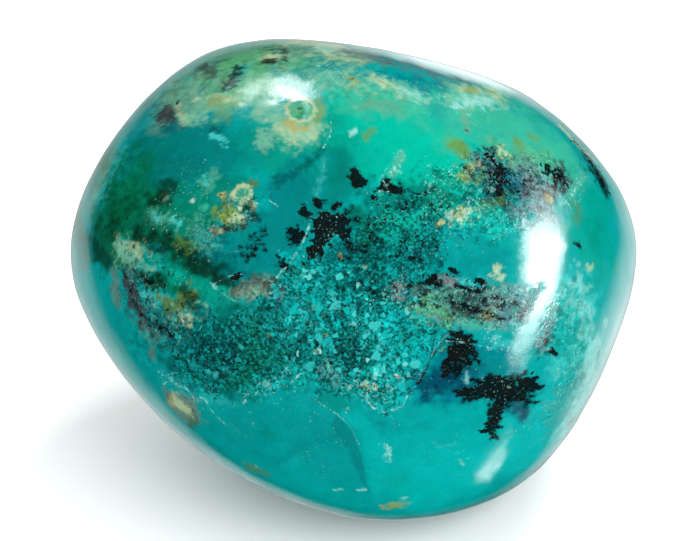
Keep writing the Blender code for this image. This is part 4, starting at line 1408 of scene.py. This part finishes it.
soft_lamp("overhead", 130, 65, 0.35, 0.12, 0.12, 0.72)
soft_lamp("window from the right", 45, 35, 0.40, 0.30, 0.30, 1.08)
soft_lamp("low fill", -22, 12, 0.45, 0.35, 0.25, 0.74)

# %% [markdown]
# The shine comes from glowing cards that only the polish sees. A lamp could be moved about until its shine
# sat right. A card is hung by its shine instead: the ray from the camera is bounced off the skin at each
# corner of the shine, and the card's corner hangs on that ray. The nearer it hangs, the fewer other sides
# of the stone mirror it.

# %% Glowing cards
OVER_THE_TABLE_MM = 0.2


def mirrored(x, y):
    """Where a ray from the camera meets the stone, and its way after that. Beside the stone it flies on."""
    ray = sight(x, y)
    point, normal = polished_tree.ray_cast(eye / MM, ray)[:2]
    if point is None:
        return (eye + ray * CAMERA_DISTANCE) / MM, ray
    return point, ray.reflect(normal)


def card(name, rows, brightness, distance):
    """A glowing card hung by its shine. Each row is places of the picture, with how strongly the card glows
    at each. It hangs at a distance in mm, or lies on the table where that is nearer. Brightness 1 is white
    paper in full light."""
    corners = []
    glow = []
    for row in rows:
        for x, y, share in row:
            point, ray = mirrored(x, y)
            drop = (point.z - OVER_THE_TABLE_MM) / -ray.z if ray.z < 0 else distance
            corners.append((point + ray * min(distance, drop)) * MM)
            glow.append(share)
    across = len(rows[0])
    faces = [
        (i * across + j, i * across + j + 1, (i + 1) * across + j + 1, (i + 1) * across + j)
        for i in range(len(rows) - 1)
        for j in range(across - 1)
    ]
    mesh = bpy.data.meshes.new(name)
    mesh.from_pydata(corners, [], faces)
    layer = mesh.attributes.new("glow", "FLOAT", "POINT")
    layer.data.foreach_set("value", glow)
    light = bpy.data.materials.new(name)
    light.use_nodes = True
    nodes = light.node_tree.nodes
    nodes.clear()
    share = nodes.new("ShaderNodeAttribute")
    share.attribute_name = "glow"
    strength = nodes.new("ShaderNodeMath")
    strength.operation = "MULTIPLY"
    strength.inputs[1].default_value = brightness
    emission = nodes.new("ShaderNodeEmission")
    output = nodes.new("ShaderNodeOutputMaterial")
    light.node_tree.links.new(share.outputs["Fac"], strength.inputs[0])
    light.node_tree.links.new(strength.outputs[0], emission.inputs["Strength"])
    light.node_tree.links.new(emission.outputs[0], output.inputs["Surface"])
    mesh.materials.append(light)
    made = bpy.data.objects.new(name, mesh)
    scene.collection.objects.link(made)
    made.visible_camera = False
    made.visible_diffuse = False
    made.visible_shadow = False
    made.visible_transmission = False


def lit_row(y, left, left_full, right_full, right, share):
    """One row of a shine: it starts at left, is full between two places, and ends at right."""
    return [(left, y, 0.0), (left_full, y, share), (right_full, y, share), (right, y, 0.0)]


WINDOW_SHINE = [
    lit_row(176, 530, 540, 552, 566, 0.0),
    lit_row(196, 526, 537, 552, 564, 0.15),
    lit_row(212, 525, 535, 554, 568, 0.18),
    lit_row(228, 523, 533, 557, 571, 0.5),
    lit_row(244, 522, 532, 558, 569, 1.0),
    lit_row(264, 520, 531, 555, 565, 1.0),
    lit_row(280, 519, 531, 551, 561, 1.0),
    lit_row(292, 533, 540, 549, 559, 0.9),
    lit_row(304, 527, 534, 544, 553, 0.8),
    lit_row(318, 521, 528, 537, 547, 0.6),
    lit_row(328, 514, 522, 533, 542, 0.5),
    lit_row(345, 511, 518, 527, 536, 0.38),
    lit_row(364, 508, 514, 520, 527, 0.18),
    lit_row(378, 508, 514, 518, 524, 0.0),
]
CROWN_SHINE = [
    [(244, 84, 0.0), (266, 74, 0.0), (290, 72, 0.0), (312, 84, 0.0)],
    [(248, 90, 0.05), (268, 84, 0.2), (290, 82, 0.3), (314, 92, 0.0)],
    [(256, 95, 0.1), (272, 91, 0.7), (294, 90, 1.0), (317, 97, 0.2)],
    [(264, 99, 0.0), (278, 97, 0.8), (298, 96, 1.0), (318, 99, 0.2)],
    [(266, 102, 0.0), (280, 100, 0.0), (300, 99, 0.0), (318, 101, 0.0)],
]
LOW_SHINE = [
    lit_row(422, 509, 511, 513, 516, 0.0),
    lit_row(436, 502, 506, 509, 514, 0.2),
    lit_row(452, 492, 498, 503, 509, 0.6),
    lit_row(466, 481, 488, 495, 502, 1.0),
    lit_row(474, 473, 480, 488, 495, 0.8),
    lit_row(484, 468, 474, 482, 489, 0.0),
]
card("window", WINDOW_SHINE, 30, 16)
card("back window", CROWN_SHINE, 34, 150)
card("low window", LOW_SHINE, 6.5, 12)

# %% [markdown]
# At the rims the polish mirrors the table at a glancing angle, and there the bright paper round the stone
# shows as a pale border. It is widest on the right, thin at the brow and gone at the lower right, where the
# stone mirrors its own shadow. One more card does it, a ring that lies on the table and climbs behind the
# stone. The paper itself could be left to show there, but then the border couldn't be made wide in one
# place and thin in another.

# %% The pale border
MIDDLE_OF_THE_STONE = (355, 280)
PALE_BORDER = {
    0: (1.5, 19), 15: (1.6, 21), 30: (1.1, 17), 45: (0.8, 7), 57: (0.1, 5), 82: (0.1, 5), 90: (0.4, 5),
    105: (0.6, 6), 120: (0.7, 7), 135: (0.7, 9), 150: (0.75, 13), 165: (0.85, 15), 180: (0.95, 18),
    195: (0.8, 14), 210: (0.5, 9), 225: (0.5, 7), 240: (0.5, 6), 262: (0.5, 6), 278: (1.0, 6), 290: (2.2, 9),
    302: (2.2, 9), 312: (0.8, 8), 322: (0.5, 6), 334: (0.5, 6), 345: (1.0, 10),
}
BORDER_STEPS = 60
FALL_OF_THE_BORDER = ((0.18, 1.0), (0.7, 0.95), (1.0, 0.5), (1.25, 0.0))
BESIDE_THE_STONE_PX = 3.0
FADE_BESIDE_IT_PX = 22.0
GLOW_AT_THE_EDGE = 0.62
RIM_PX = 0.5


def towards(turn, radius):
    """A place in the picture by its angle clockwise from the right and its distance from the middle."""
    turn = math.radians(turn)
    return MIDDLE_OF_THE_STONE[0] + radius * math.cos(turn), MIDDLE_OF_THE_STONE[1] + radius * math.sin(turn)


def rim_radius(turn):
    """How far from its middle the stone ends in the picture."""
    inside, outside = 0.0, 400.0
    while outside - inside > 0.05:
        halfway = (inside + outside) / 2
        if polished_tree.ray_cast(eye / MM, sight(*towards(turn, halfway)))[0] is None:
            outside = halfway
        else:
            inside = halfway
    return inside


border = []
for turn in np.linspace(0, 360, BORDER_STEPS + 1):
    strength, width = [
        np.interp(turn, list(PALE_BORDER), wanted, period=360) for wanted in zip(*PALE_BORDER.values())
    ]
    radius = rim_radius(turn)
    row = [(*towards(turn, radius + FADE_BESIDE_IT_PX), 0.0)]
    row += [(*towards(turn, radius + beside), GLOW_AT_THE_EDGE) for beside in (BESIDE_THE_STONE_PX, -RIM_PX)]
    for part, fall in FALL_OF_THE_BORDER:
        row.append((*towards(turn, radius - RIM_PX - width * part), strength * fall))
    border.append(row)
card("paper round the stone", border, 1.0, 150)
print("cards hung; the border has", len(border), "rows")
